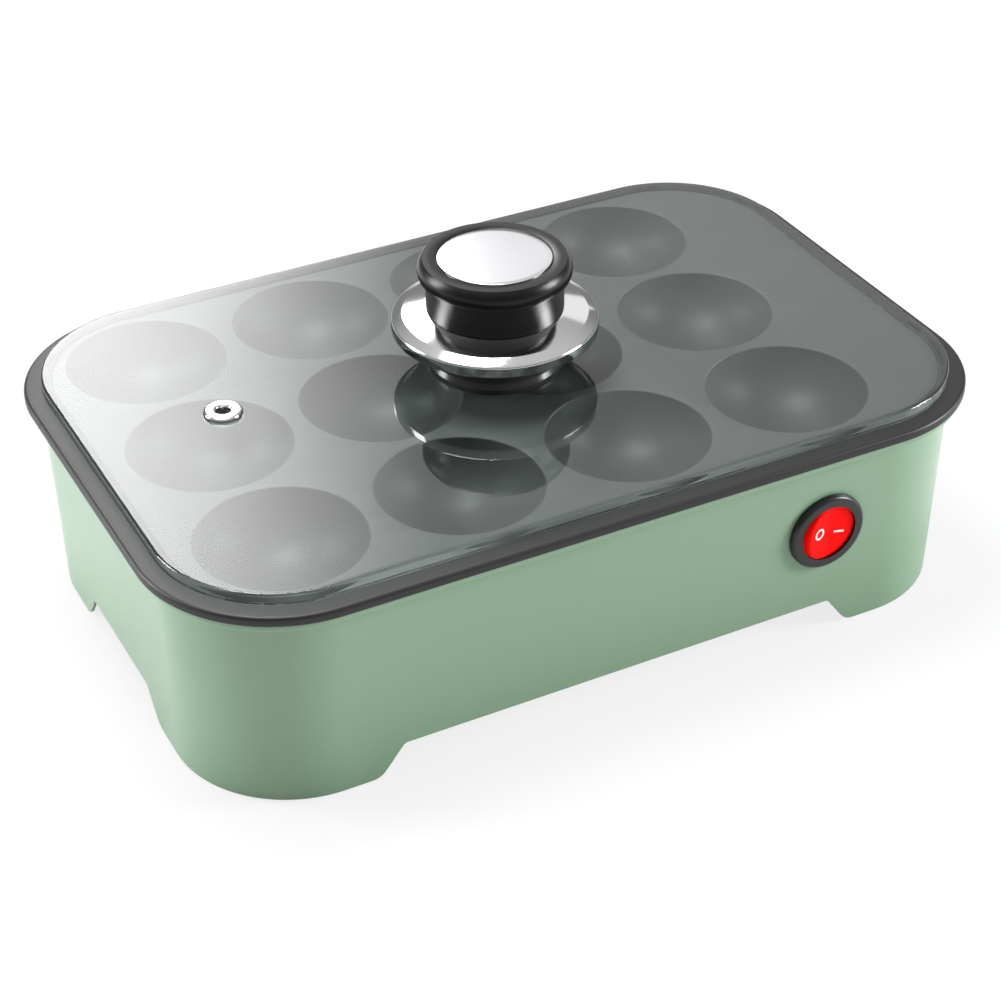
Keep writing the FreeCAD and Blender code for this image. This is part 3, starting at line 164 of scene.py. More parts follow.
@dataclass
class Surface:
    """Vertices and faces that grow as grids and caps are added."""

    points: list[Array] = field(default_factory=list)
    faces: list[Array] = field(default_factory=list)
    count: int = 0

    def add_grid(self, grid: Array, close_columns: bool = False, close_rows: bool = False) -> None:
        """Adds a grid of points and the quads between neighbouring rows and columns.

        Args:
            grid: array of rows by columns by three.
            close_columns: joins the last column to the first.
            close_rows: joins the last row to the first.
        """
        rows, columns = grid.shape[:2]
        number = np.arange(rows * columns).reshape(rows, columns) + self.count
        if close_columns:
            number = np.column_stack([number, number[:, :1]])
        if close_rows:
            number = np.vstack([number, number[:1]])
        quads = np.stack([number[:-1, :-1], number[:-1, 1:], number[1:, 1:], number[1:, :-1]], axis=-1)
        self.points.append(grid.reshape(-1, 3))
        self.faces.append(quads.reshape(-1, 4))
        self.count += rows * columns

    def add_triangles(self, points: Array, triangles: Array) -> None:
        """Adds loose triangles over their own points."""
        self.points.append(points)
        self.faces.append(triangles + self.count)
        self.count += len(points)

    def add_lathe(self, line: Array, sides: int = 96, centre: tuple[float, float] = (0.0, 0.0)) -> None:
        """Spins a line of (radius, height) points about a vertical axis.

        Row i, column j is (radius_i * cos(2 pi j / sides), radius_i * sin(2 pi j / sides), height_i).

        Args:
            line: radius and height of each row.
            sides: number of columns.
            centre: where the axis stands.
        """
        angle = full_turn(sides)
        grid = np.empty((len(line), sides, 3))
        grid[..., 0] = line[:, :1] * np.cos(angle) + centre[0]
        grid[..., 1] = line[:, :1] * np.sin(angle) + centre[1]
        grid[..., 2] = line[:, 1:]
        self.add_grid(grid, close_columns=True)

    def add(self, other: "Surface") -> None:
        """Adds another surface's points and faces."""
        self.points += other.points
        self.faces += [part + self.count for part in other.faces]
        self.count += other.count

    def moved(self, matrix: Matrix) -> "Surface":
        """The same surface carried by a matrix whose lengths are millimetres."""
        turn = np.array(matrix.to_3x3())
        shift = np.array(matrix.to_translation())
        return Surface([part @ turn.T + shift for part in self.points], self.faces, self.count)

    def mesh(self, name: str) -> bpy.types.Mesh:
        """Makes the Blender mesh: doubles merged, faces outwards, smooth up to the smoothing angle."""
        data = bpy.data.meshes.new(name)
        points = np.vstack(self.points) * MM
        faces = [face for part in self.faces for face in part.tolist()]
        data.from_pydata(points.tolist(), [], faces)
        shape = bmesh.new()
        shape.from_mesh(data)
        bmesh.ops.remove_doubles(shape, verts=shape.verts, dist=1e-6)
        bmesh.ops.dissolve_degenerate(shape, edges=shape.edges, dist=1e-7)
        bmesh.ops.recalc_face_normals(shape, faces=shape.faces)
        shape.to_mesh(data)
        shape.free()
        shade(data)
        return data


def shade(data: bpy.types.Mesh) -> None:
    """Shades a mesh smooth, with sharp edges above the smoothing angle."""
    data.polygons.foreach_set("use_smooth", np.ones(len(data.polygons), bool))
    data.set_sharp_from_angle(angle=SMOOTH_ANGLE)
    data.update()


@dataclass(frozen=True)
class Outline:
    """A rounded rectangle, as points with outward normals, so that an offset is point + offset * normal."""

    length: float
    width: float
    corner: float
    corner_steps: int = 20
    side_step: float = 4.0

    def points(self) -> tuple[Array, Array]:
        """Points anticlockwise from the front left, and the unit normal at each.

        Returns:
            Two arrays with two coordinates for each point.
        """
        reach_x = self.length / 2 - self.corner
        reach_y = self.width / 2 - self.corner
        centres = [(reach_x, -reach_y), (reach_x, reach_y), (-reach_x, reach_y), (-reach_x, -reach_y)]
        places: list[Array] = []
        normals: list[Array] = []
        for index, (x, y) in enumerate(centres):
            angle = np.radians(np.linspace(-90, 0, self.corner_steps + 1) + 90 * index)
            outward = np.column_stack([np.cos(angle), np.sin(angle)])
            places.append(np.array([x, y]) + self.corner * outward)
            normals.append(outward)
            after = centres[(index + 1) % 4]
            stretch = math.hypot(after[0] - x, after[1] - y)
            steps = max(2, round(stretch / self.side_step))
            share = np.linspace(0, 1, steps + 1)[1:-1, None]
            start = places[-1][-1]
            end = np.array(after) + self.corner * outward[-1]
            places.append(start + share * (end - start))
            normals.append(np.repeat(outward[-1:], len(share), axis=0))
        return np.vstack(places), np.vstack(normals)

    def sweep(self, line: Array) -> Array:
        """Carries a profile of (offset, height) points round the outline.

        Row i, column j is (point_j + offset_i * normal_j, height_i).
        """
        places, normals = self.points()
        grid = np.empty((len(line), len(places), 3))
        grid[..., :2] = places + line[:, None, :1] * normals
        grid[..., 2] = line[:, 1:]
        return grid

    def loop(self, offset: float) -> Array:
        """The outline moved outwards by an offset."""
        places, normals = self.points()
        return places + offset * normals


def circle(x: float, y: float, radius: float, sides: int) -> Array:
    """Points on a circle, at the angles that a lathe of as many sides has."""
    angle = full_turn(sides)
    return np.column_stack([x + radius * np.cos(angle), y + radius * np.sin(angle)])


def holed_face(border: Array, holes: list[Array], height: float) -> tuple[Array, Array]:
    """Fills a flat face that has round holes with triangles.

    Args:
        border: outer loop of points.
        holes: loops of points round a centre, one for each hole.
        height: height of the face.

    Returns:
        Points with three coordinates, and triangles as point numbers.
    """
    loops = [border, *holes]
    flat = np.vstack(loops)
    edges: list[tuple[int, int]] = []
    first = 0
    for loop in loops:
        size = len(loop)
        edges += [(first + i, first + (i + 1) % size) for i in range(size)]
        first += size
    found = delaunay_2d_cdt([Vector(point) for point in flat], edges, [], 1, 1e-5)
    points = np.array([tuple(point) for point in found[0]])
    triangles = np.array([tuple(face) for face in found[2]])
    centres = points[triangles].mean(axis=1)
    keep = np.ones(len(triangles), bool)
    for hole in holes:
        middle = hole.mean(axis=0)
        radius = np.linalg.norm(hole[0] - middle)
        keep &= np.linalg.norm(centres - middle, axis=1) > radius * 0.999
    heights = np.full((len(points), 1), height)
    return np.hstack([points, heights]), triangles[keep]


def show(name: str, data: bpy.types.ID) -> bpy.types.Object:
    """Adds an object that holds a mesh, a lamp or a camera to the scene."""
    made = bpy.data.objects.new(name, data)
    bpy.context.scene.collection.objects.link(made)
    return made


def place_piece(name: str, surface: Surface, body: Body, finish: "Finish", *replaced: str) -> bpy.types.Object:
    """Makes a piece, gives it its finish, and lets it ride on its body.

    Args:
        name: the piece's name.
        surface: its surface.
        body: the body it rides on.
        finish: what it is made of.
        replaced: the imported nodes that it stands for, if any.

    Returns:
        The new object.
    """
    piece = show(name, surface.mesh(name))
    piece.data.materials.append(finish.material())
    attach(piece, body.value)
    if replaced:
        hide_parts(*replaced)
    LOG.info("%s: %d faces on %s", name, len(piece.data.polygons), body.value)
    return piece


def place_spun(name: str, line: Array, body: Body, finish: "Finish", node: str, sides: int = 96,
               centre: tuple[float, float] = (0.0, 0.0), turn: Matrix | None = None) -> None:
    """Spins a closed cross-section about a vertical axis, turns it and places it.

    Args:
        name: the piece's name.
        line: radius and height of the cross-section's points.
        body: the body it rides on.
        finish: what it is made of.
        node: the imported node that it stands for.
        sides: number of columns.
        centre: where the axis stands.
        turn: a matrix that carries the spun piece to its place, if any.
    """
    surface = Surface()
    surface.add_lathe(np.vstack([line, line[:1]]), sides, centre)
    place_piece(name, surface.moved(turn) if turn else surface, body, finish, node)


# Shader groups and finishes


def linear(colour: Colour) -> tuple[float, float, float, float]:
    """Turns a screen colour from 0 to 255 into the linear colour that a shader takes."""
    share = np.array(colour) / 255
    value = np.where(share <= 0.04045, share / 12.92, ((share + 0.055) / 1.055) ** 2.4)
    return (*value.tolist(), 1.0)


class Graph:
    """Short ways to add and link the nodes of one node tree."""

    def __init__(self, tree: bpy.types.NodeTree) -> None:
        """Keeps the tree that the nodes go into."""
        self.tree = tree

    def node(self, kind: str, links: dict | None = None, **settings: object) -> bpy.types.Node:
        """Adds a node, sets its properties, and links or sets its inputs.

        Args:
            kind: the node's type.
            links: input name or number to a socket or a plain value.
            settings: properties of the node.

        Returns:
            The node.
        """
        made = self.tree.nodes.new(kind)
        for key, value in settings.items():
            setattr(made, key, value)
        for key, value in (links or {}).items():
            self.feed(made.inputs[key], value)
        return made

    def feed(self, entry: bpy.types.NodeSocket, value: object) -> None:
        """Links a socket to an input, or sets the input to a plain value."""
        if isinstance(value, bpy.types.NodeSocket):
            self.tree.links.new(value, entry)
        else:
            entry.default_value = value

    def surface(self, result: bpy.types.Node) -> None:
        """Makes a shader node what the material shows."""
        self.feed(self.tree.nodes["Material Output"].inputs["Surface"], result.outputs[0])

    def rays(self, *kinds: str) -> bpy.types.NodeSocket:
        """One for rays of the named kinds, such as Camera or Glossy, and zero for others."""
        path = self.node("ShaderNodeLightPath").outputs
        value = path[f"Is {kinds[0]} Ray"]
        for kind in kinds[1:]:
            value = self.math("MAXIMUM", value, path[f"Is {kind} Ray"])
        return value

    def place(self) -> bpy.types.NodeSocket:
        """The shaded point in the object's own coordinates, in metres."""
        return self.node("ShaderNodeTexCoord").outputs["Object"]

    def math(self, operation: str, first: object, second: object = 0.0, clamp: bool = False) -> bpy.types.NodeSocket:
        """The result of a sum on two sockets or numbers."""
        return self.node("ShaderNodeMath", {0: first, 1: second}, operation=operation, use_clamp=clamp).outputs[0]

    def mix(self, share: object, first: object, second: object) -> bpy.types.NodeSocket:
        """Blends two colours by a share of the second."""
        return self.node("ShaderNodeMix", {0: share, 6: first, 7: second}, data_type="RGBA").outputs[2]

    def ramp(self, value: object, low: float, high: float, start: object = 0.0, end: object = 1.0
             ) -> bpy.types.NodeSocket:
        """Maps a value smoothly from low..high to start..end, held at the ends."""
        links = {"Value": value, "From Min": low, "From Max": high, "To Min": start, "To Max": end}
        return self.node("ShaderNodeMapRange", links, interpolation_type="SMOOTHSTEP").outputs[0]


def new_group(name: str, inputs: tuple[str, ...], outputs: tuple[str, ...]
              ) -> tuple[Graph, bpy.types.Node, bpy.types.Node]:
    """Starts a shader node group with named sockets.

    Sockets that SOCKETS doesn't name carry numbers.

    Args:
        name: the group's name.
        inputs: names of its inputs.
        outputs: names of its outputs.

    Returns:
        The group's graph, and its input and output nodes.
    """
    group = bpy.data.node_groups.new(name, "ShaderNodeTree")
    for side, keys in (("INPUT", inputs), ("OUTPUT", outputs)):
        for key in keys:
            kind = SOCKETS.get(key, "NodeSocketFloat")
            group.interface.new_socket(key, in_out=side, socket_type=kind)
    return Graph(group), group.nodes.new("NodeGroupInput"), group.nodes.new("NodeGroupOutput")


SOCKETS = {"Vector": "NodeSocketVector", "Colour": "NodeSocketColor", "Speck Colour": "NodeSocketColor"}


def grain_group() -> bpy.types.NodeTree:
    """Surface grain shared by all finishes: slow mottling, fine specks and a height for the bump.

    Returns:
        The group, made once.
    """
    if "surface_grain" in bpy.data.node_groups:
        return bpy.data.node_groups["surface_grain"]
    inputs = ("Vector", "Colour", "Speck Colour", "Speck Amount", "Roughness", "Mottle Scale", "Mottle Colour",
              "Mottle Roughness", "Grain Scale")
    graph, source, sink = new_group("surface_grain", inputs, ("Colour", "Roughness", "Height"))
    get = source.outputs
    slow = graph.node("ShaderNodeTexNoise", {"Vector": get["Vector"], "Scale": get["Mottle Scale"], "Detail": 3.0})
    fine = graph.node("ShaderNodeTexNoise", {"Vector": get["Vector"], "Scale": get["Grain Scale"], "Detail": 2.0})
    centred = graph.math("SUBTRACT", slow.outputs["Fac"], 0.5)
    value = graph.math("ADD", graph.math("MULTIPLY", centred, get["Mottle Colour"]), 1.0)
    shifted = graph.node("ShaderNodeHueSaturation", {"Color": get["Colour"], "Value": value})
    speck = graph.ramp(fine.outputs["Fac"], 0.58, 0.72)
    amount = graph.math("MULTIPLY", speck, get["Speck Amount"])
    mixed = graph.mix(amount, shifted.outputs[0], get["Speck Colour"])
    rough = graph.math("ADD", get["Roughness"], graph.math("MULTIPLY", centred, get["Mottle Roughness"]), clamp=True)
    graph.feed(sink.inputs["Colour"], mixed)
    graph.feed(sink.inputs["Roughness"], rough)
    graph.feed(sink.inputs["Height"], fine.outputs["Fac"])
    return graph.tree


def brushed_group() -> bpy.types.NodeTree:
    """Fine turned lines: noise stretched along circles about the Z axis of the mapped vector.

    The radius of the mapped point drives a one-way noise, so each ring has its own shade and height, and a weak
    angular noise breaks the rings up.

    Returns:
        The group, made once.
    """
    if "turned_lines" in bpy.data.node_groups:
        return bpy.data.node_groups["turned_lines"]
    inputs = ("Vector", "Line Scale", "Roughness", "Line Roughness")
    graph, source, sink = new_group("turned_lines", inputs, ("Roughness", "Height"))
    get = source.outputs
    split = graph.node("ShaderNodeSeparateXYZ", {0: get["Vector"]})
    squares = (graph.math("MULTIPLY", side, side) for side in split.outputs[:2])
    radius = graph.math("SQRT", graph.math("ADD", *squares))
    angle = graph.math("ARCTAN2", split.outputs[1], split.outputs[0])
    joined = graph.node("ShaderNodeCombineXYZ", {
        0: graph.math("MULTIPLY", radius, get["Line Scale"]),
        1: graph.math("MULTIPLY", angle, 0.6),
        2: graph.math("MULTIPLY", split.outputs[2], get["Line Scale"]),
    })
    lines = graph.node("ShaderNodeTexNoise", {"Vector": joined.outputs[0], "Scale": 1.0, "Detail": 2.0})
    centred = graph.math("SUBTRACT", lines.outputs["Fac"], 0.5)
    rough = graph.math("ADD", get["Roughness"], graph.math("MULTIPLY", centred, get["Line Roughness"]), clamp=True)
    graph.feed(sink.inputs["Roughness"], rough)
    graph.feed(sink.inputs["Height"], lines.outputs["Fac"])
    return graph.tree


@dataclass(frozen=True)
class Finish:
    """A finish with grain: colour, gloss, mottling, specks and bump, all in the piece's own coordinates."""

    name: str
    slot: str
    colour: Colour
    roughness: float
    metallic: float = 0.0
    specular: float = 0.5
    coat: float = 0.0
    coat_roughness: float = 0.05
    mottle_scale: float = 60.0
    mottle_colour: float = 0.06
    mottle_roughness: float = 0.06
    speck: Colour = (128.0, 128.0, 128.0)
    speck_amount: float = 0.0
    grain_scale: float = 1500.0
    bump: float = 0.05
    bump_depth: float = 0.05

    def material(self) -> bpy.types.Material:
        """The finish's material, made at its first use."""
        if self.name in bpy.data.materials:
            return bpy.data.materials[self.name]
        material = bpy.data.materials.new(self.name)
        material.use_nodes = True
        self.dress(Graph(material.node_tree), material.node_tree.nodes["Principled BSDF"].inputs)
        return material

    def dress(self, graph: Graph, entries: bpy.types.NodeInputs) -> None:
        """Feeds colour, roughness and normal from the grain group, and sets the plain values.

        Args:
            graph: the material's graph.
            entries: the inputs of its Principled shader.
        """
        entries["Metallic"].default_value = self.metallic
        entries["Specular IOR Level"].default_value = self.specular
        entries["Coat Weight"].default_value = self.coat
        entries["Coat Roughness"].default_value = self.coat_roughness
        grain = graph.node("ShaderNodeGroup", {
            "Vector": graph.place(),
            "Colour": linear(self.colour),
            "Speck Colour": linear(self.speck),
            "Speck Amount": self.speck_amount,
            "Roughness": self.roughness,
            "Mottle Scale": self.mottle_scale,
            "Mottle Colour": self.mottle_colour,
            "Mottle Roughness": self.mottle_roughness,
            "Grain Scale": self.grain_scale,
        }, node_tree=grain_group())
        graph.feed(entries["Base Color"], grain.outputs["Colour"])
        self.add_relief(graph, entries, grain)

    def add_relief(self, graph: Graph, entries: bpy.types.NodeInputs, group: bpy.types.Node) -> None:
        """Links a group's roughness and, through a bump node, its height."""
        graph.feed(entries["Roughness"], group.outputs["Roughness"])
        if self.bump > 0:
            links = {"Strength": self.bump, "Distance": self.bump_depth * MM, "Height": group.outputs["Height"]}
            graph.feed(entries["Normal"], graph.node("ShaderNodeBump", links).outputs[0])


@dataclass(frozen=True)
class ShadedFlangeCoating(Finish):
    """Non-stick coating, grey in the recess, with painted shade that makes the same coating nearly black on the flange.
    """

    # Painted shade: the darker colour the flange gets, a shaded copy of the same coating.
    rim: Colour = (30.0, 30.0, 29.0)

    def dress(self, graph: Graph, entries: bpy.types.NodeInputs) -> None:
        """Mixes in the painted shade's colour where the mesh is marked as flange."""
        super().dress(graph, entries)
        colour = entries["Base Color"].links[0].from_socket
        # The flange mark blends in the painted shade colour.
        mark = graph.node("ShaderNodeAttribute", attribute_name=FLANGE_SHADE_MARK).outputs["Fac"]
        graph.feed(entries["Base Color"], graph.mix(mark, colour, linear(self.rim)))


@dataclass(frozen=True)
class TurnedMetal(Finish):
    """Bright metal with the fine rings that turning or spinning leaves."""

    line_scale: float = 4000.0
    line_roughness: float = 0.1
    centre: tuple[float, float, float] = (0.0, 0.0, 0.0)

    def dress(self, graph: Graph, entries: bpy.types.NodeInputs) -> None:
        """Feeds roughness and normal from the turned lines, and colour from the grain group."""
        super().dress(graph, entries)
        shift = tuple(-value * MM for value in self.centre)
        lines = graph.node("ShaderNodeGroup", {
            "Vector": graph.node("ShaderNodeMapping", {"Vector": graph.place(), "Location": shift}).outputs[0],
            "Line Scale": self.line_scale,
            "Roughness": self.roughness,
            "Line Roughness": self.line_roughness,
        }, node_tree=brushed_group())
        self.add_relief(graph, entries, lines)


@dataclass(frozen=True)
class ClearGlass(Finish):
    """Tempered glass that lets lamp light through to what lies under it."""

    ior: float = 1.5
    shadow: Colour = (235.0, 240.0, 238.0)

    def dress(self, graph: Graph, entries: bpy.types.NodeInputs) -> None:
        """Makes the shader transmit, and swaps it for a clear one where light and reflections are worked out."""
        super().dress(graph, entries)
        entries["Transmission Weight"].default_value = 1.0
        entries["IOR"].default_value = self.ior
        shader = graph.tree.nodes["Principled BSDF"].outputs[0]
        clear = graph.node("ShaderNodeBsdfTransparent", {"Color": linear(self.shadow)}).outputs[0]
        through = graph.rays("Shadow", "Diffuse", "Glossy")
        graph.surface(graph.node("ShaderNodeMixShader", {0: through, 1: shader, 2: clear}))


@dataclass(frozen=True)
class PaintedGlowPlastic(Finish):
    """Tinted plastic with a painted glow: it gives off light of its own colour, though the switch holds no lamp."""

    # Strength of the painted glow.
    painted_glow: float = 0.15

    def dress(self, graph: Graph, entries: bpy.types.NodeInputs) -> None:
        """Adds painted glow, light of the plastic's own colour, to the grain."""
        super().dress(graph, entries)
        entries["Emission Color"].default_value = linear(self.colour)
        entries["Emission Strength"].default_value = self.painted_glow


ENAMEL = Finish("sage_enamel", "green_enamel", (128, 161, 131), 0.32, coat=0.4, coat_roughness=0.10,
                mottle_scale=25, mottle_colour=0.03, mottle_roughness=0.04, grain_scale=900, bump=0.02)
# Non-stick coating with painted shade on its flange.
COATING = ShadedFlangeCoating("non_stick_coating", "non_stick", (84, 84, 84), 0.44, specular=0.45, mottle_scale=45,
                       mottle_colour=0.08, mottle_roughness=0.06, speck=(120, 120, 120), speck_amount=0.12,
                       grain_scale=2200, bump=0.08, bump_depth=0.04)
GLASS = ClearGlass("tempered_glass", "lid_glass", (251, 253, 253), 0.01, mottle_colour=0.0, mottle_roughness=0.01,
                   bump=0.0)
POLISHED = TurnedMetal("polished_steel", "polished_steel", (236, 236, 238), 0.22, metallic=1.0, line_scale=2500,
                       line_roughness=0.05, bump=0.01, bump_depth=0.02)
CAP_STEEL = TurnedMetal("turned_steel", "brushed_cap", (228, 228, 231), 0.22, metallic=1.0, line_scale=5200,
                        line_roughness=0.18, bump=0.05, bump_depth=0.02)
PHENOLIC = Finish("black_phenolic", "black_phenolic", (6, 6, 6), 0.22, specular=0.35, mottle_scale=120,
                  mottle_roughness=0.08, grain_scale=1800, bump=0.02)
PHENOLIC_SATIN = Finish("black_phenolic_satin", "black_phenolic", (9, 9, 9), 0.30, specular=0.35, mottle_scale=120,
                        mottle_roughness=0.08, grain_scale=2200, bump=0.05)
BEZEL_BLACK = Finish("bezel_plastic", "black_gloss", (24, 24, 25), 0.30, mottle_scale=150, grain_scale=2000, bump=0.04)
# Red rocker with a painted glow.
ROCKER_RED = PaintedGlowPlastic("rocker_red", "red_gloss", (225, 6, 4), 0.30, specular=0.05, mottle_colour=0.12,
                            mottle_scale=180, grain_scale=1500, bump=0.05, painted_glow=0.3)
MARK_WHITE = Finish("mark_white", "red_gloss", (250, 240, 236), 0.45, grain_scale=2500, bump=0.05)
RUBBER = Finish("foot_rubber", "black_rubber", (36, 36, 36), 0.75, mottle_scale=90, grain_scale=1600, bump=0.2)
ZINC = Finish("zinc_plate", "plated_steel", (176, 177, 178), 0.38, metallic=1.0, mottle_scale=70, mottle_colour=0.12,
              mottle_roughness=0.15, grain_scale=1200, bump=0.05)
SHEATH = Finish("element_sheath", "element_steel", (92, 88, 84), 0.5, metallic=1.0, mottle_scale=110,
                mottle_colour=0.2, mottle_roughness=0.15, grain_scale=1500, bump=0.1)
CERAMIC = Finish("ceramic", "ceramic", (232, 226, 212), 0.6, mottle_scale=140, grain_scale=1700, bump=0.15)
BRASS = Finish("blade_brass", "brass", (200, 165, 96), 0.3, metallic=1.0, mottle_colour=0.1, bump=0.04)
SILICONE = Finish("clear_silicone", "clear_silicone", (200, 200, 200), 0.45, mottle_scale=90, bump=0.08)


# Pieces


@dataclass
class Housing:
    """The enamelled skirt with its bead, foot cut-outs and round holes."""

    finish: Finish = ENAMEL
    wall: float = 1.0
    lean: float = WALL_LEAN
    bead_height: float = 2.4
    bead_projection: float = BEAD_PROJECTION
    seat_width: float = 4.0
    cut_height: float = 10.0
    front_half: float = 66.0
    side_half: float = 21.0
    slope: float = 7.0
    foot_round: float = 5.0
    cut_round: float = 1.5
    corner: float = 35.3
    edge: float = 0.15
    switch_hole: float = 10.1
    cord_hole: float = 6.1
    hole_reach: float = 4.0

    def __post_init__(self) -> None:
        """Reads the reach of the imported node."""
        self.low, self.high = span("housing_shell")
        reach = 2 * (self.bead_projection + self.lean)
        size = self.high - self.low - reach
        self.outline = Outline(*size[:2], self.corner - self.lean, 26, 0.8)

    def cut_edge(self, along: Array, half: float) -> Array:
        """Height of the lower edge along one side: high in the middle, sloped, then low at the feet.

        The slope joins both levels by arcs: z = top - r + sqrt(r^2 - d^2) at the cut-out's corner and
        z = bottom + r - sqrt(r^2 - d^2) at the foot's, with d the distance from each arc's centre.

        Args:
            along: distances from the side's middle.
            half: half length of the cut-out's level part.

        Returns:
            The height for each distance.
        """
        bottom, top = self.low[2], self.cut_height
        slant = math.atan2(top - bottom, self.slope)
        distance = np.abs(along)
        height = np.interp(distance, [half, half + self.slope], [top, bottom])
        for radius, corner, level, sign in (
            (self.cut_round, half, top, 1.0),
            (self.foot_round, half + self.slope, bottom, -1.0),
        ):
            tangent = radius * math.tan(slant / 2)
            middle = corner - sign * tangent
            offset = np.clip((distance - middle) * sign, 0, radius)
            bend = level - sign * (radius - np.sqrt(radius ** 2 - offset ** 2))
            inside = (offset > 0) & (offset < radius * math.sin(slant))
            height = np.where(inside, bend, height)
        return height

    def lower_edge(self) -> Array:
        """Height of the skirt's lower edge at each point of the outline; corners stay low."""
        places, normals = self.outline.points()
        height = np.full(len(places), self.low[2])
        for along, half in ((0, self.front_half), (1, self.side_half)):
            straight = np.abs(normals[:, 1 - along]) > 0.999
            height[straight] = self.cut_edge(places[straight, along], half)
        return height

    def wall_line(self) -> Array:
        """Closed cross-section as (offset from the leaning wall, share of the height up to the bead, height above)."""
        top = self.high[2]
        bead = top - self.bead_height
        outer = [(-0.5 * self.wall, 0.0), (-self.edge, 0.0), (0.0, self.edge)]
        levels = [(0.0, share) for share in (2.0, 6.0, 12.0, 20.0, 30.0, 40.0)]
        lip = soften(profile(
            (0.0, bead - 1.5), (0.0, bead), (self.bead_projection, bead),
            (self.bead_projection, top), (-self.wall, top),
        ), {1: 0.5, 2: 0.6, 3: 0.9, 4: 0.2})
        inner = [(-self.wall, share) for share in (40.0, 20.0, 6.0, self.edge)]
        return profile(outer, levels, lip, inner, (-self.wall + self.edge, 0.0))

    def skirt(self) -> Surface:
        """The leaning wall as a closed sweep whose lower rows follow the cut edge."""
        places, normals = self.outline.points()
        bottom, top = self.low[2], self.high[2]
        edge = self.lower_edge()
        line = self.wall_line()
        lip = line[:, 1] > top - self.bead_height - 2.0
        share = np.where(lip, 0.0, line[:, 1] / (top - bottom))
        height = np.where(lip[:, None], line[:, 1:], edge + share[:, None] * (top - edge))
        offset = line[:, :1] + self.lean * (height - bottom) / (top - bottom)
        grid = np.empty(height.shape + (3,))
        grid[..., :2] = places + offset[..., None] * normals
        grid[..., 2] = height
        surface = Surface()
        surface.add_grid(grid, close_columns=True, close_rows=True)
        return surface

    def seat(self) -> Surface:
        """The inward ledge that the base plate is drawn up against."""
        corner_low, corner_high = span("seat_ring")
        outer = corner_high[0] - self.outline.length / 2
        inner = -self.wall - self.seat_width
        line = rectangle(outer, inner, corner_low[2], corner_high[2])
        surface = Surface()
        surface.add_grid(self.outline.sweep(line), close_columns=True, close_rows=True)
        return surface

    def build(self) -> None:
        """Makes the skirt, cuts its two holes and adds the seat."""
        piece = place_piece("housing_skirt", self.skirt(), Body.BASE, self.finish, "housing_shell")
        for name, radius, matrix in (
            ("switch_cutter", self.switch_hole, switch_frame()),
            ("cord_cutter", self.cord_hole, cord_frame()),
        ):
            tool = Surface()
            tool.add_lathe(pin_line(radius, -self.hole_reach, self.hole_reach))
            cut_with(piece, name, tool.moved(matrix))
        shade(piece.data)
        place_piece("housing_seat", self.seat(), Body.BASE, ZINC, "seat_ring")


def wall_frame(node: str, front: bool) -> Matrix:
    """Frame on the leaning wall at a round part: local Z points outwards, square to the wall.

    Args:
        node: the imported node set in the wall.
        front: whether the wall is the front one.

    Returns:
        A matrix whose place is on the wall's outer face, in millimetres.
    """
    low, high = span(node)
    shell_low, shell_high = span("housing_shell")
    lean = math.atan2(WALL_LEAN, shell_high[2] - shell_low[2])
    reach = (shell_high[1] - shell_low[1]) / 2 - BEAD_PROJECTION
    middle = (low + high) / 2
    y = reach - (shell_high[2] - middle[2]) * math.tan(lean)
    side = -1.0 if front else 1.0
    out = Vector((0.0, side * math.cos(lean), -math.sin(lean)))
    up = Vector((0.0, side * math.sin(lean), math.cos(lean)))
    across = up.cross(out)
    turn = Matrix((across, up, out)).transposed()
    return Matrix.Translation((middle[0], side * y, middle[2])) @ turn.to_4x4()


def switch_frame() -> Matrix:
    """The switch's frame on the front wall."""
    return wall_frame("switch_terminals", front=True)


def cord_frame() -> Matrix:
    """The cord bush's frame on the back wall."""
    return wall_frame("cord_bush", front=False)


def cut_with(piece: bpy.types.Object, name: str, tool: Surface) -> None:
    """Cuts a surface out of a piece and removes the tool again.

    Args:
        piece: the object to cut.
        name: a name for the tool.
        tool: closed surface of what is taken away.
    """
    cutter = show(name, tool.mesh(name))
    change = piece.modifiers.new(name, "BOOLEAN")
    change.operation = "DIFFERENCE"
    change.solver = "EXACT"
    change.object = cutter
    bpy.context.view_layer.update()
    graph = bpy.context.evaluated_depsgraph_get()
    result = bpy.data.meshes.new_from_object(piece.evaluated_get(graph))
    piece.modifiers.clear()
    old = piece.data
    piece.data = result
    bpy.data.meshes.remove(old)
    data = cutter.data
    bpy.data.objects.remove(cutter)
    bpy.data.meshes.remove(data)


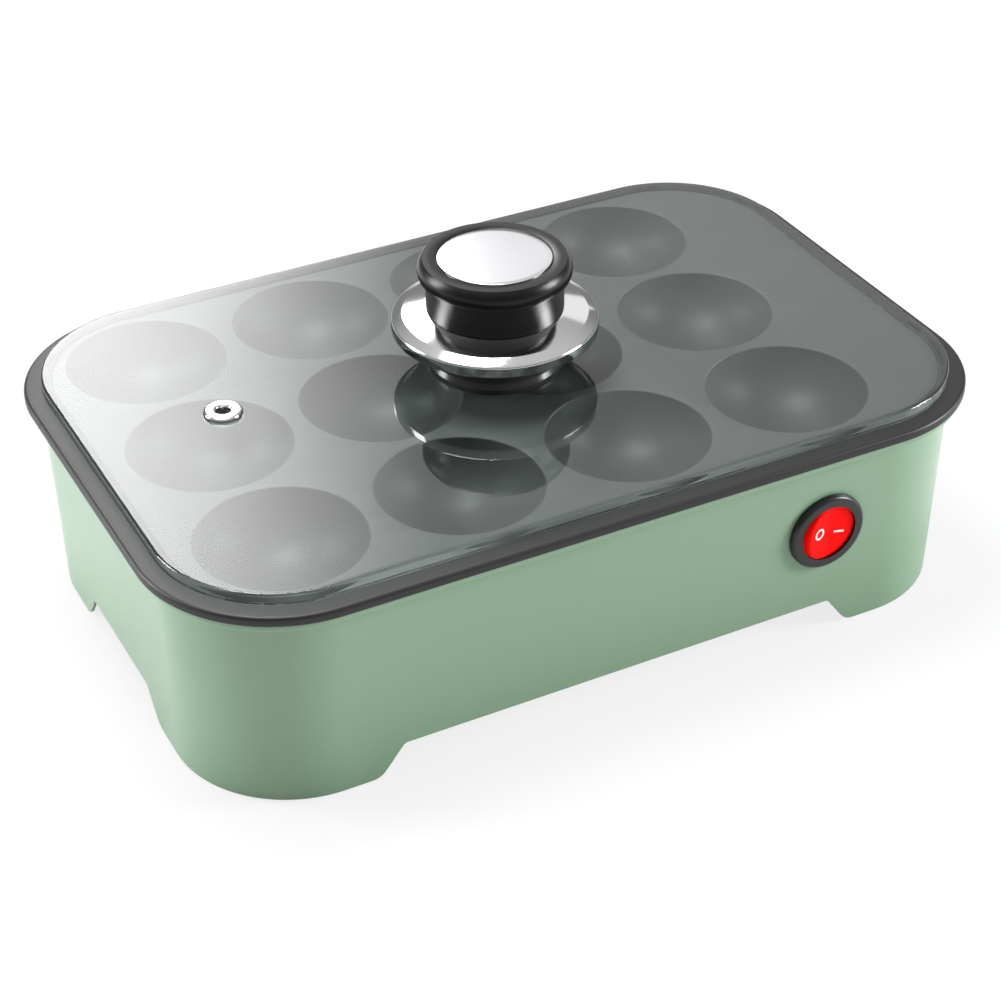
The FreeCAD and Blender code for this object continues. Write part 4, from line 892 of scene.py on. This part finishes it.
@dataclass
class CookingPlate:
    """The coated tray: rim flange, recessed land and round hollows."""

    finish: Finish = COATING
    corner: float = 39.5
    flange: float = 2.6
    flange_round: float = 1.0
    ledge: float = 8.0
    recess: float = 0.8
    thickness: float = 3.0
    rib_inset: float = 5.6
    land_strip: float = 0.45
    mouth: float = 22.4
    depth: float = 19.5
    cup_wall: float = 2.2
    cup_round: float = 0.7
    pitch: tuple[float, float] = (50.5, 48.4)
    shift: float = -10.2
    columns: int = 4
    rows: int = 3
    sides: int = 128

    def __post_init__(self) -> None:
        """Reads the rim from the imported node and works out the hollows' ball."""
        self.low, self.high = span("cooking_plate")
        self.outline = Outline(*(self.high - self.low)[:2], self.corner, 32, 6.0)
        self.top = self.high[2]
        self.land = self.top - self.recess
        self.under = self.land - self.thickness
        self.ball = (self.mouth ** 2 + self.depth ** 2) / (2 * self.depth)
        self.centre = self.land - self.depth + self.ball

    def cup_places(self) -> list[tuple[float, float]]:
        """Where the hollows' axes stand."""
        return [
            (self.shift + self.pitch[0] * (column - (self.columns - 1) / 2),
             self.pitch[1] * (row - (self.rows - 1) / 2))
            for row in range(self.rows)
            for column in range(self.columns)
        ]

    def cup_line(self) -> Array:
        """Profile of a hollow: a rounding that touches the land and the ball, then the ball down to its lowest point."""
        level = self.land - self.cup_round
        reach = math.sqrt((self.ball + self.cup_round) ** 2 - (self.centre - level) ** 2)
        lean = math.degrees(math.atan2(self.centre - level, reach))
        edge = arc((reach, level), self.cup_round, 90, 180 - lean, 8)
        bowl = arc((0.0, self.centre), self.ball, -lean, -90, 40)
        return profile(edge, bowl)

    def rim_line(self) -> Array:
        """Open cross-section of the rim, from the land over the flange to the underside."""
        corners = profile(
            (-self.ledge - self.land_strip, self.land), (-self.ledge, self.land),
            (-self.ledge, self.top), (0.0, self.top), (0.0, self.top - self.flange),
            (-self.rib_inset, self.top - self.flange), (-self.rib_inset, self.under),
            (-self.rib_inset - self.land_strip, self.under),
        )
        return soften(corners, {1: 0.25, 2: 0.3, 3: self.flange_round, 4: 0.25})

    def build(self) -> None:
        """Makes the whole tray as one closed surface."""
        surface = Surface()
        surface.add_grid(self.outline.sweep(self.rim_line()), close_columns=True)
        cup = self.cup_line()
        outside = self.ball + self.cup_wall
        drop = self.centre - self.under
        below = math.sqrt(outside ** 2 - drop ** 2)
        bowl = arc((0.0, self.centre), outside, -math.degrees(math.asin(drop / outside)), -90, 24)
        tops = [circle(x, y, cup[0, 0], self.sides) for x, y in self.cup_places()]
        bottoms = [circle(x, y, below, self.sides) for x, y in self.cup_places()]
        surface.add_triangles(*holed_face(self.outline.loop(-self.ledge - self.land_strip), tops, self.land))
        surface.add_triangles(*holed_face(self.outline.loop(-self.rib_inset - self.land_strip), bottoms, self.under))
        for place in self.cup_places():
            surface.add_lathe(cup, self.sides, place)
            surface.add_lathe(bowl, self.sides, place)
        piece = place_piece("cooking_tray", surface, Body.BASE, self.finish, "cooking_plate", "cooking_cups")
        self.mark_flange_shade(piece.data)

    def mark_flange_shade(self, data: bpy.types.Mesh) -> None:
        """Stores on each face whether it belongs to the flange, where the finish paints shade that makes the coating
        darker.

        A face belongs to the flange when its centre lies outside the recess: with q the distance beyond the straight
        sides' ends, the centre is outside when the length of q's positive part is more than the corner radius.
        """
        centre = np.empty(len(data.polygons) * 3)
        data.polygons.foreach_get("center", centre)
        flat = np.abs(centre.reshape(-1, 3)[:, :2]) / MM
        half = np.array([self.outline.length, self.outline.width]) / 2
        beyond = np.maximum(flat - (half - self.corner), 0)
        outside = np.linalg.norm(beyond, axis=1) > self.corner - self.ledge - 0.1
        attribute = data.attributes.new(FLANGE_SHADE_MARK, "FLOAT", "FACE")
        attribute.data.foreach_set("value", outside.astype(np.float32))


@dataclass
class GlassLid:
    """The glass plate with its steam vent."""

    finish: Finish = GLASS
    corner: float = 34.5
    rounding: float = 0.8
    border: float = 2.0
    screw_hole: float = 2.65
    vent_hole: float = 4.25
    vent_bore: float = 2.1
    vent_barrel: float = 4.0
    sides: int = 96

    def __post_init__(self) -> None:
        """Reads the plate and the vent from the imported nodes."""
        self.low, self.high = span("glass_lid")
        self.outline = Outline(*(self.high - self.low)[:2], self.corner, 32, 6.0)
        self.vent_low, self.vent_high = span("steam_vent")
        self.vent = tuple((self.vent_low + self.vent_high)[:2] / 2)

    def build(self) -> None:
        """Makes the plate and the vent's eyelet."""
        bottom, top = self.low[2], self.high[2]
        surface = Surface()
        line = profile((-self.border, top), (0.0, top), (0.0, bottom), (-self.border, bottom))
        edge = soften(line, {1: self.rounding, 2: self.rounding}, 8)
        surface.add_grid(self.outline.sweep(edge), close_columns=True)
        border = self.outline.loop(-self.border)
        holes = [((0.0, 0.0), self.screw_hole), (self.vent, self.vent_hole)]
        loops = [circle(*place, radius, self.sides) for place, radius in holes]
        for level in (top, bottom):
            surface.add_triangles(*holed_face(border, loops, level))
        for place, radius in holes:
            surface.add_lathe(profile((radius, top), (radius, bottom)), self.sides, place)
        place_piece("lid_pane", surface, Body.LID, self.finish, "glass_lid")
        self.build_vent(top, bottom)

    def build_vent(self, top: float, bottom: float) -> None:
        """Makes the eyelet: a domed flange above, a barrel through the glass and a curl below."""
        bore, barrel = self.vent_bore, self.vent_barrel
        flange = (self.vent_high[0] - self.vent_low[0]) / 2
        crown = self.vent_high[2]
        foot = self.vent_low[2]
        line = soften(profile(
            (bore, foot), (flange, foot), (flange, bottom), (barrel, bottom), (barrel, top),
            (flange, top), (flange, crown), (bore, crown),
        ), {1: 0.2, 5: 0.15, 6: 0.95, 7: 0.8})
        finish = replace(POLISHED, name="vent_steel", roughness=0.12, line_scale=3000, line_roughness=0.06,
                         centre=(*self.vent, 0.0))
        place_spun("vent_eyelet", line, Body.LID, finish, "steam_vent", self.sides, self.vent)


@dataclass
class Knob:
    """Collar, finger guard, grip and cap, all spun about the middle of the lid."""

    sides: int = 160
    bore: float = 2.45
    waist: float = 18.2
    hub: float = 6.0
    wall: float = 3.0
    seat_radius: float = 19.2
    sheet: float = 0.8
    skirt: float = 3.4
    flange_height: float = 5.9
    collar_foot: tuple[float, float] = (1.6, 3.2)
    rib: tuple[float, ...] = (6.2, 5.6, 4.4, 3.8)
    rib_projection: float = 0.5
    brim: float = 3.0
    brim_rise: float = 1.15
    shoulder: float = 4.6
    shoulder_drop: float = 3.4
    blind_depth: float = 11.0
    cap_gap: float = 0.3
    crown: float = 0.3

    def __post_init__(self) -> None:
        """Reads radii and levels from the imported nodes."""
        self.collar_low, self.collar_high = span("knob_collar")
        self.guard_low, self.guard_high = span("finger_guard")
        self.grip_low, self.grip_high = span("knob_grip")
        self.cap_low, self.cap_high = span("knob_cap")

    def build(self) -> None:
        """Makes the four visible pieces of the knob."""
        self.build_collar()
        self.build_guard()
        self.build_grip()
        self.build_cap()

    def build_collar(self) -> None:
        """Spacer with a wide foot and a thin rib near the top, hollow round its hub."""
        bottom, top = self.collar_low[2], self.collar_high[2]
        foot = self.collar_high[0]
        roof = top - self.wall
        ridge = self.waist + self.rib_projection
        line = soften(profile(
            (self.bore, bottom), (self.hub, bottom), (self.hub, roof),
            (self.waist - self.wall, roof), (self.waist - self.wall, bottom), (foot, bottom),
            (foot, bottom + self.collar_foot[0]), (self.waist, bottom + self.collar_foot[1]),
            (self.waist, top - self.rib[0]), (ridge, top - self.rib[1]), (ridge, top - self.rib[2]),
            (self.waist, top - self.rib[3]), (self.waist, top), (self.bore, top),
        ), {5: 0.3, 6: 0.7, 7: 0.8, 9: 0.25, 10: 0.25, 12: 0.2})
        place_spun("collar", line, Body.LID, PHENOLIC, "knob_collar", self.sides)

    def build_guard(self) -> None:
        """Dish with a level seat, a gently falling brim and a turned-down rim."""
        rim = self.guard_high[0]
        seat = self.guard_high[2]
        low = self.guard_low[2]
        fall = low + self.skirt
        under = fall - self.sheet
        line = soften(profile(
            (self.bore, seat), (self.seat_radius, seat), (rim - self.brim, fall + self.brim_rise),
            (rim, fall - 0.2), (rim, low), (rim - self.sheet, low), (rim - self.sheet, under - 0.4),
            (self.seat_radius, seat - self.sheet), (self.bore, seat - self.sheet),
        ), {1: 6.0, 2: 2.5, 3: 0.9, 4: 0.3, 5: 0.3, 6: 0.4}, 8)
        place_spun("guard_dish", line, Body.LID, POLISHED, "finger_guard", self.sides)

    def build_grip(self) -> None:
        """Barrel with a domed flange, a groove round the cap's seat and a blind hub."""
        bottom, top = self.grip_low[2], self.grip_high[2]
        widest = self.grip_high[0]
        under = top - self.flange_height
        seat = self.cap_high[0] + self.cap_gap
        floor = self.cap_low[2]
        roof = floor - self.wall
        shoulder = arc((widest - self.shoulder, top - self.shoulder_drop), self.shoulder, -20, 66, 14)
        shoulder[:, 1] = np.minimum(shoulder[:, 1], top)
        start = profile(
            (self.bore, bottom), (self.hub, bottom), (self.hub, roof),
            (self.seat_radius - self.wall, roof), (self.seat_radius - self.wall, bottom),
            (self.seat_radius - 0.25, bottom), (self.seat_radius, bottom + 0.25),
            (self.seat_radius, under - 0.6), (self.seat_radius + 0.25, under - 0.1),
            (self.seat_radius + 0.9, under + 0.1), (widest - 0.55, under + 0.7),
        )
        end = profile(
            (seat + 0.5, top), (seat, top - 0.25), (seat, floor), (AXIS_GAP, floor),
            (AXIS_GAP, bottom + self.blind_depth), (self.bore, bottom + self.blind_depth),
        )
        line = profile(start, shoulder, end)
        place_spun("grip", line, Body.LID, PHENOLIC_SATIN, "knob_grip", self.sides)

    def build_cap(self) -> None:
        """Disc with a slight crown: height falls with the square of the radius."""
        floor, top = self.cap_low[2], self.cap_high[2]
        edge = self.cap_high[0]
        radius = np.linspace(AXIS_GAP, edge - 0.35, 12)
        crown = np.column_stack([radius, top - self.crown * (radius / edge) ** 2])
        last = crown[-1, 1]
        rim = profile((edge - 0.1, last - 0.1), (edge, last - 0.35), (edge, floor), (AXIS_GAP, floor))
        place_spun("cap", profile(crown, rim), Body.LID, CAP_STEEL, "knob_cap", self.sides)


@dataclass
class Switch:
    """Round rocker switch: bezel and case, rocker and its two marks."""

    bezel: float = 11.7
    bezel_height: float = 2.0
    bezel_round: float = 1.3
    case: float = 9.9
    depth: float = 13.0
    hollow: float = 9.15
    hinge_depth: float = 1.2
    ball: float = 8.9
    valley: float = 2.6
    face_slope: float = 0.09
    face_blend: float = 0.8
    face_curve: float = 0.006
    face_edge: tuple[float, float] = (0.35, 0.30)
    floor: float = 2.0
    rear: float = 3.0
    pin: float = 1.0
    pin_reach: float = 9.6
    tilt: float = 8.0
    mark_turn: float = -14.0
    ring_place: float = -4.0
    ring_radii: tuple[float, float] = (1.75, 1.15)
    bar_place: float = 3.4
    bar_size: tuple[float, float] = (1.7, 0.3)
    mark_sides: int = 48
    sides: int = 128

    def build(self) -> None:
        """Makes the case, the rocker and the marks."""
        self.build_case()
        self.build_rocker()
        self.build_marks()

    def build_case(self) -> None:
        """Bezel with a ball-shaped opening in front of a plain round case."""
        mouth = math.sqrt(self.hollow ** 2 - (self.bezel_height + self.hinge_depth) ** 2)
        angle = math.degrees(math.atan2(self.bezel_height + self.hinge_depth, mouth))
        cavity = arc((0.0, -self.hinge_depth), self.hollow, angle, 0, 16)
        floor = -self.depth + self.floor
        front = soften(profile((mouth, self.bezel_height), (self.bezel, self.bezel_height), (self.bezel, 0.0),
                               (self.case, 0.0)), {1: self.bezel_round, 2: 0.15}, 8)
        line = profile((AXIS_GAP, floor), (self.hollow, floor), cavity[::-1], front[1:], (self.case, -self.depth),
                       (AXIS_GAP, -self.depth))
        surface = Surface()
        surface.add_lathe(line, self.sides)
        place_piece("switch_case", surface.moved(switch_frame()), Body.BASE, BEZEL_BLACK, "switch_body")

    def rocker_frame(self) -> Matrix:
        """The rocker's frame: on its hinge, turned to rest."""
        hinge = Matrix.Translation((0.0, 0.0, -self.hinge_depth))
        return switch_frame() @ hinge @ Matrix.Rotation(math.radians(self.tilt), 4, "Y")

    def face_height(self, across: Array) -> Array:
        """Height of the rocker's face above the hinge: lowest in the middle, rising to both ends."""
        blend = np.sqrt(across ** 2 + self.face_blend ** 2) - self.face_blend
        return self.valley + self.face_slope * blend + self.face_curve * across ** 2

    def build_rocker(self) -> None:
        """Face over a disc, side on the ball, flat rear, and a pin at each side.

        The face's rim lies where its height meets the ball: r = sqrt(ball^2 - height(r cos a)^2), found by repeating.
        """
        angle = full_turn(self.sides)
        rim = np.full(self.sides, self.ball)
        for _ in range(12):
            rim = np.sqrt(self.ball ** 2 - self.face_height(rim * np.cos(angle)) ** 2)
        share = np.sin(np.linspace(0, 1, 25) * math.pi / 2)[:, None]
        radius = share * (rim - self.face_edge[0])
        face = np.stack([
            radius * np.cos(angle),
            radius * np.sin(angle),
            self.face_height(radius * np.cos(angle)),
        ], axis=-1)
        start = np.arcsin((face[-1, :, 2] - self.face_edge[1]) / self.ball)
        end = math.asin(-self.rear / self.ball)
        climb = start + np.linspace(0, 1, 14)[:, None] * (end - start)
        side = np.stack([
            self.ball * np.cos(climb) * np.cos(angle),
            self.ball * np.cos(climb) * np.sin(angle),
            self.ball * np.sin(climb),
        ], axis=-1)
        rear = side[-1:] * np.array([0.0, 0.0, 1.0])
        surface = Surface()
        surface.add_grid(np.concatenate([face, side, rear]), close_columns=True)
        pin = Surface()
        pin.add_lathe(pin_line(self.pin, math.sqrt(self.ball ** 2 - self.pin ** 2) - 0.3, self.pin_reach), 24)
        for turn in (90.0, -90.0):
            surface.add(pin.moved(Matrix.Rotation(math.radians(turn), 4, "X")))
        place_piece("rocker_key", surface.moved(self.rocker_frame()), Body.ROCKER, ROCKER_RED, "switch_rocker")

    def mark(self, outer: Array, inner: Array) -> Surface:
        """A printed mark: a thin pad that follows the face between two loops of points."""
        share = np.linspace(0, 1, 5)[:, None, None]
        flat = outer + share * (inner - outer)
        top = np.dstack([flat, self.face_height(flat[..., 0]) + 0.06])
        low = np.dstack([flat, self.face_height(flat[..., 0]) - 0.05])
        surface = Surface()
        surface.add_grid(np.concatenate([low[:1], top, low[-1:]]), close_columns=True)
        return surface

    def build_marks(self) -> None:
        """A ring on the left half and a bar on the right half."""
        ring, hole = (circle(self.ring_place, 0.0, radius, self.mark_sides) for radius in self.ring_radii)
        square = np.clip(circle(0.0, 0.0, 1.6, self.mark_sides), -1.0, 1.0)
        bar = square * self.bar_size + (self.bar_place, 0.0)
        turn = math.radians(self.mark_turn)
        spin = np.array([[math.cos(turn), math.sin(turn)], [-math.sin(turn), math.cos(turn)]])
        middle = np.broadcast_to(bar.mean(axis=0), bar.shape)
        for name, outer, inner in (("mark_ring", ring, hole), ("mark_bar", bar, middle)):
            surface = self.mark(outer @ spin, inner @ spin)
            place_piece(name, surface.moved(self.rocker_frame()), Body.ROCKER, MARK_WHITE)


@dataclass
class CordBush:
    """Rubber bush in the back wall."""

    bore: float = 3.5
    neck: float = 5.9
    flange: float = 8.0
    thickness: float = 2.0
    inside: float = 6.0
    taper: float = 1.0
    wall: float = 1.1

    def build(self) -> None:
        """Spins the bush about its bore and sets it in the wall."""
        line = soften(profile(
            (self.bore, self.thickness), (self.bore, -self.inside),
            (self.flange - self.taper, -self.inside), (self.flange, -self.wall),
            (self.neck, -self.wall), (self.neck, 0.0), (self.flange, 0.0),
            (self.flange, self.thickness),
        ), {0: 0.4, 1: 0.3, 2: 0.4, 7: 0.9})
        place_spun("rear_bush", line, Body.BASE, RUBBER, "cord_bush", turn=cord_frame())


@dataclass
class Feet:
    """Four push-in rubber feet."""

    bottom: float = 7.5
    top: float = 9.0
    stem: float = 2.9
    barb: float = 4.0
    barb_height: float = 2.0
    play: float = 0.05

    def build(self) -> None:
        """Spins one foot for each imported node."""
        deck_low, deck_high = span("base_plate")
        plate, above = deck_low[2], deck_high[2] + self.play
        line = soften(profile(
            (AXIS_GAP, 0.0), (self.bottom, 0.0), (self.top, plate), (self.stem, plate),
            (self.stem, above), (self.barb, above), (self.stem, above + self.barb_height),
            (AXIS_GAP, above + self.barb_height),
        ), {1: 0.8})
        for node in (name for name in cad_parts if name.startswith("foot_")):
            centre = tuple(sum(span(node))[:2] / 2)
            place_spun(node.replace("foot", "rubber_foot"), line, Body.BASE, RUBBER, node, 72, centre)


@dataclass
class HiddenParts:
    """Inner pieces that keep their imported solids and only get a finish."""

    finishes: tuple[tuple[Finish, tuple[str, ...]], ...] = (
        (ZINC, ("base_plate", "heat_shield", "spacer_tubes", "clamp_screws", "element_pins", "element_straps",
                "strap_screws_outer", "strap_screws_inner", "thermostat_screws", "thermal_fuse", "fuse_clip",
                "fuse_clip_screws")),
        (SHEATH, ("heating_element",)),
        (CERAMIC, ("element_beads", "terminal_block")),
        (PHENOLIC, ("thermostat",)),
        (BRASS, ("switch_terminals",)),
        (POLISHED, ("knob_screw",)),
        (SILICONE, ("knob_washer",)),
    )

    def build(self) -> None:
        """Puts each finish in the material slots of its nodes."""
        for finish, nodes in self.finishes:
            for node in nodes:
                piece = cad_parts[node]
                piece.data.materials.clear()
                piece.data.materials.append(finish.material())
                LOG.info("%s keeps its solid", node)


@dataclass
class Studio:
    """Floor, world, lamps, a reflected screen and the camera.

    The photograph's camera is fixed by its place in millimetres and the directions of its own axes.
    """

    place: tuple[float, float, float] = (-256.68, -499.90, 406.52)
    right: tuple[float, float, float] = (0.8870, -0.4617, -0.0050)
    up: tuple[float, float, float] = (0.2655, 0.5012, 0.8236)
    back: tuple[float, float, float] = (-0.3778, -0.7318, 0.5672)
    lens: float = 83.87
    sensor: float = 36.0
    world_light: float = 0.24
    world_gloss: tuple[float, float] = (0.12, 0.62)
    floor_half: float = 3000.0
    floor_grey: float = 0.82
    floor_white: tuple[float, float] = (0.8, 1.0)
    floor_gloss: float = 0.18
    floor_fade: tuple[float, float] = (0.35, 1.2)
    card_reach: tuple[float, ...] = (1300.0, 1000.0, 480.0, 1120.0)
    card_strength: tuple[float, float] = (9.5, 1.0)
    card_fade: tuple[float, float] = (0.12, 0.48)
    aim: tuple[float, float, float] = (0.0, 0.0, 40.0)

    def build(self) -> None:
        """Sets up everything that isn't the object."""
        self.make_camera()
        self.make_world()
        self.make_floor()
        self.make_card()
        self.lamp("overhead", (-100.0, 150.0, 800.0), (420.0, 320.0), 6.0)
        self.lamp("left", (-820.0, 520.0, 380.0), (300.0, 600.0), 8.8)
        self.lamp("front_right", (1000.0, -520.0, 420.0), (350.0, 500.0), 13.5)
        bpy.context.scene.view_settings.view_transform = "Standard"

    def make_camera(self) -> None:
        """A camera with the photograph's place and angle."""
        data = bpy.data.cameras.new("camera")
        data.lens = self.lens
        data.sensor_width = self.sensor
        data.clip_start = 0.01
        data.clip_end = 20.0
        camera = show("camera", data)
        turn = Matrix((self.right, self.up, self.back)).transposed()
        camera.matrix_world = Matrix.Translation(Vector(self.place) * MM) @ turn.to_4x4()
        bpy.context.scene.camera = camera

    def make_world(self) -> None:
        """Soft grey light all round, white to the camera and through glass, and grey by height to gloss."""
        world = bpy.data.worlds.new("studio")
        world.use_nodes = True
        bpy.context.scene.world = world
        graph = Graph(world.node_tree)
        place = graph.node("ShaderNodeTexCoord").outputs["Generated"]
        height = graph.node("ShaderNodeSeparateXYZ", {0: place}).outputs[2]
        gloss = graph.math("MULTIPLY", graph.rays("Glossy"), graph.ramp(height, 0.1, 0.9, *self.world_gloss))
        shown = graph.math("MAXIMUM", graph.rays("Camera", "Transmission"), gloss)
        sky = world.node_tree.nodes["Background"]
        graph.feed(sky.inputs["Strength"], graph.math("MAXIMUM", shown, self.world_light))
        sky.inputs["Color"].default_value = (1.0, 1.0, 1.0, 1.0)

    def sheet(self, name: str, *corners: tuple[float, float, float]) -> tuple[bpy.types.Object, Graph]:
        """A flat sheet with a new material.

        Args:
            name: name of the object and its material.
            corners: its four corners, two for each row.

        Returns:
            The object and its material's graph.
        """
        surface = Surface()
        surface.add_grid(np.array(corners).reshape(2, 2, 3))
        made = show(name, surface.mesh(name))
        material = bpy.data.materials.new(name)
        material.use_nodes = True
        made.data.materials.append(material)
        return made, Graph(material.node_tree)

    def make_floor(self) -> None:
        """A pale floor that shows the object's shadow near it and is white further away."""
        half = self.floor_half
        floor, graph = self.sheet(
            "floor", (-half, -half, 0.0), (half, -half, 0.0), (-half, half, 0.0), (half, half, 0.0))
        shader = graph.tree.nodes["Principled BSDF"]
        shader.inputs["Base Color"].default_value = (self.floor_grey,) * 3 + (1.0,)
        shader.inputs["Roughness"].default_value = 0.9
        shader.inputs["Specular IOR Level"].default_value = 0.0
        light = graph.node("ShaderNodeEmission", {"Strength": 1.0})
        gloss = graph.math("MULTIPLY", graph.rays("Glossy"), self.floor_gloss)
        away = graph.node("ShaderNodeVectorMath", {0: graph.place()}, operation="LENGTH").outputs["Value"]
        white = graph.ramp(away, *self.floor_fade, *self.floor_white)
        share = graph.math("MAXIMUM", graph.math("MULTIPLY", graph.rays("Camera", "Transmission"), white), gloss)
        graph.surface(graph.node("ShaderNodeMixShader", {0: share, 1: shader.outputs[0], 2: light.outputs[0]}))

    def make_card(self) -> None:
        """A screen behind the object that whitens the left third of the glass and fades to the right."""
        right, back, low, high = self.card_reach
        card, graph = self.sheet("screen", (0.0, back, low), (right, back, low), (0.0, back, high), (right, back, high))
        across = graph.node("ShaderNodeSeparateXYZ", {0: graph.place()}).outputs[0]
        strength = graph.ramp(across, *self.card_fade, *self.card_strength)
        graph.surface(graph.node("ShaderNodeEmission", {"Strength": strength}))
        card.visible_camera = False
        card.visible_diffuse = False
        card.visible_transmission = False
        card.visible_shadow = False

    def lamp(self, name: str, place: tuple[float, float, float], size: tuple[float, float], power: float) -> None:
        """A rectangular lamp that points at the object.

        Args:
            name: the lamp's name.
            place: where it hangs.
            size: its two sides.
            power: its power in watts.
        """
        data = bpy.data.lights.new(name, "AREA")
        data.shape = "RECTANGLE"
        data.size = size[0] * MM
        data.size_y = size[1] * MM
        data.energy = power
        turn = (Vector(place) - Vector(self.aim)).to_track_quat("Z", "Y").to_matrix().to_4x4()
        show(name, data).matrix_world = Matrix.Translation(Vector(place) * MM) @ turn


def main() -> None:
    """Builds the object and the studio."""
    logging.basicConfig(level=logging.INFO, format="%(message)s")
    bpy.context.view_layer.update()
    for part in (Housing(), CookingPlate(), GlassLid(), Knob(), Switch(), CordBush(), Feet(), HiddenParts(), Studio()):
        part.build()


if __name__ == "__main__":
    main()
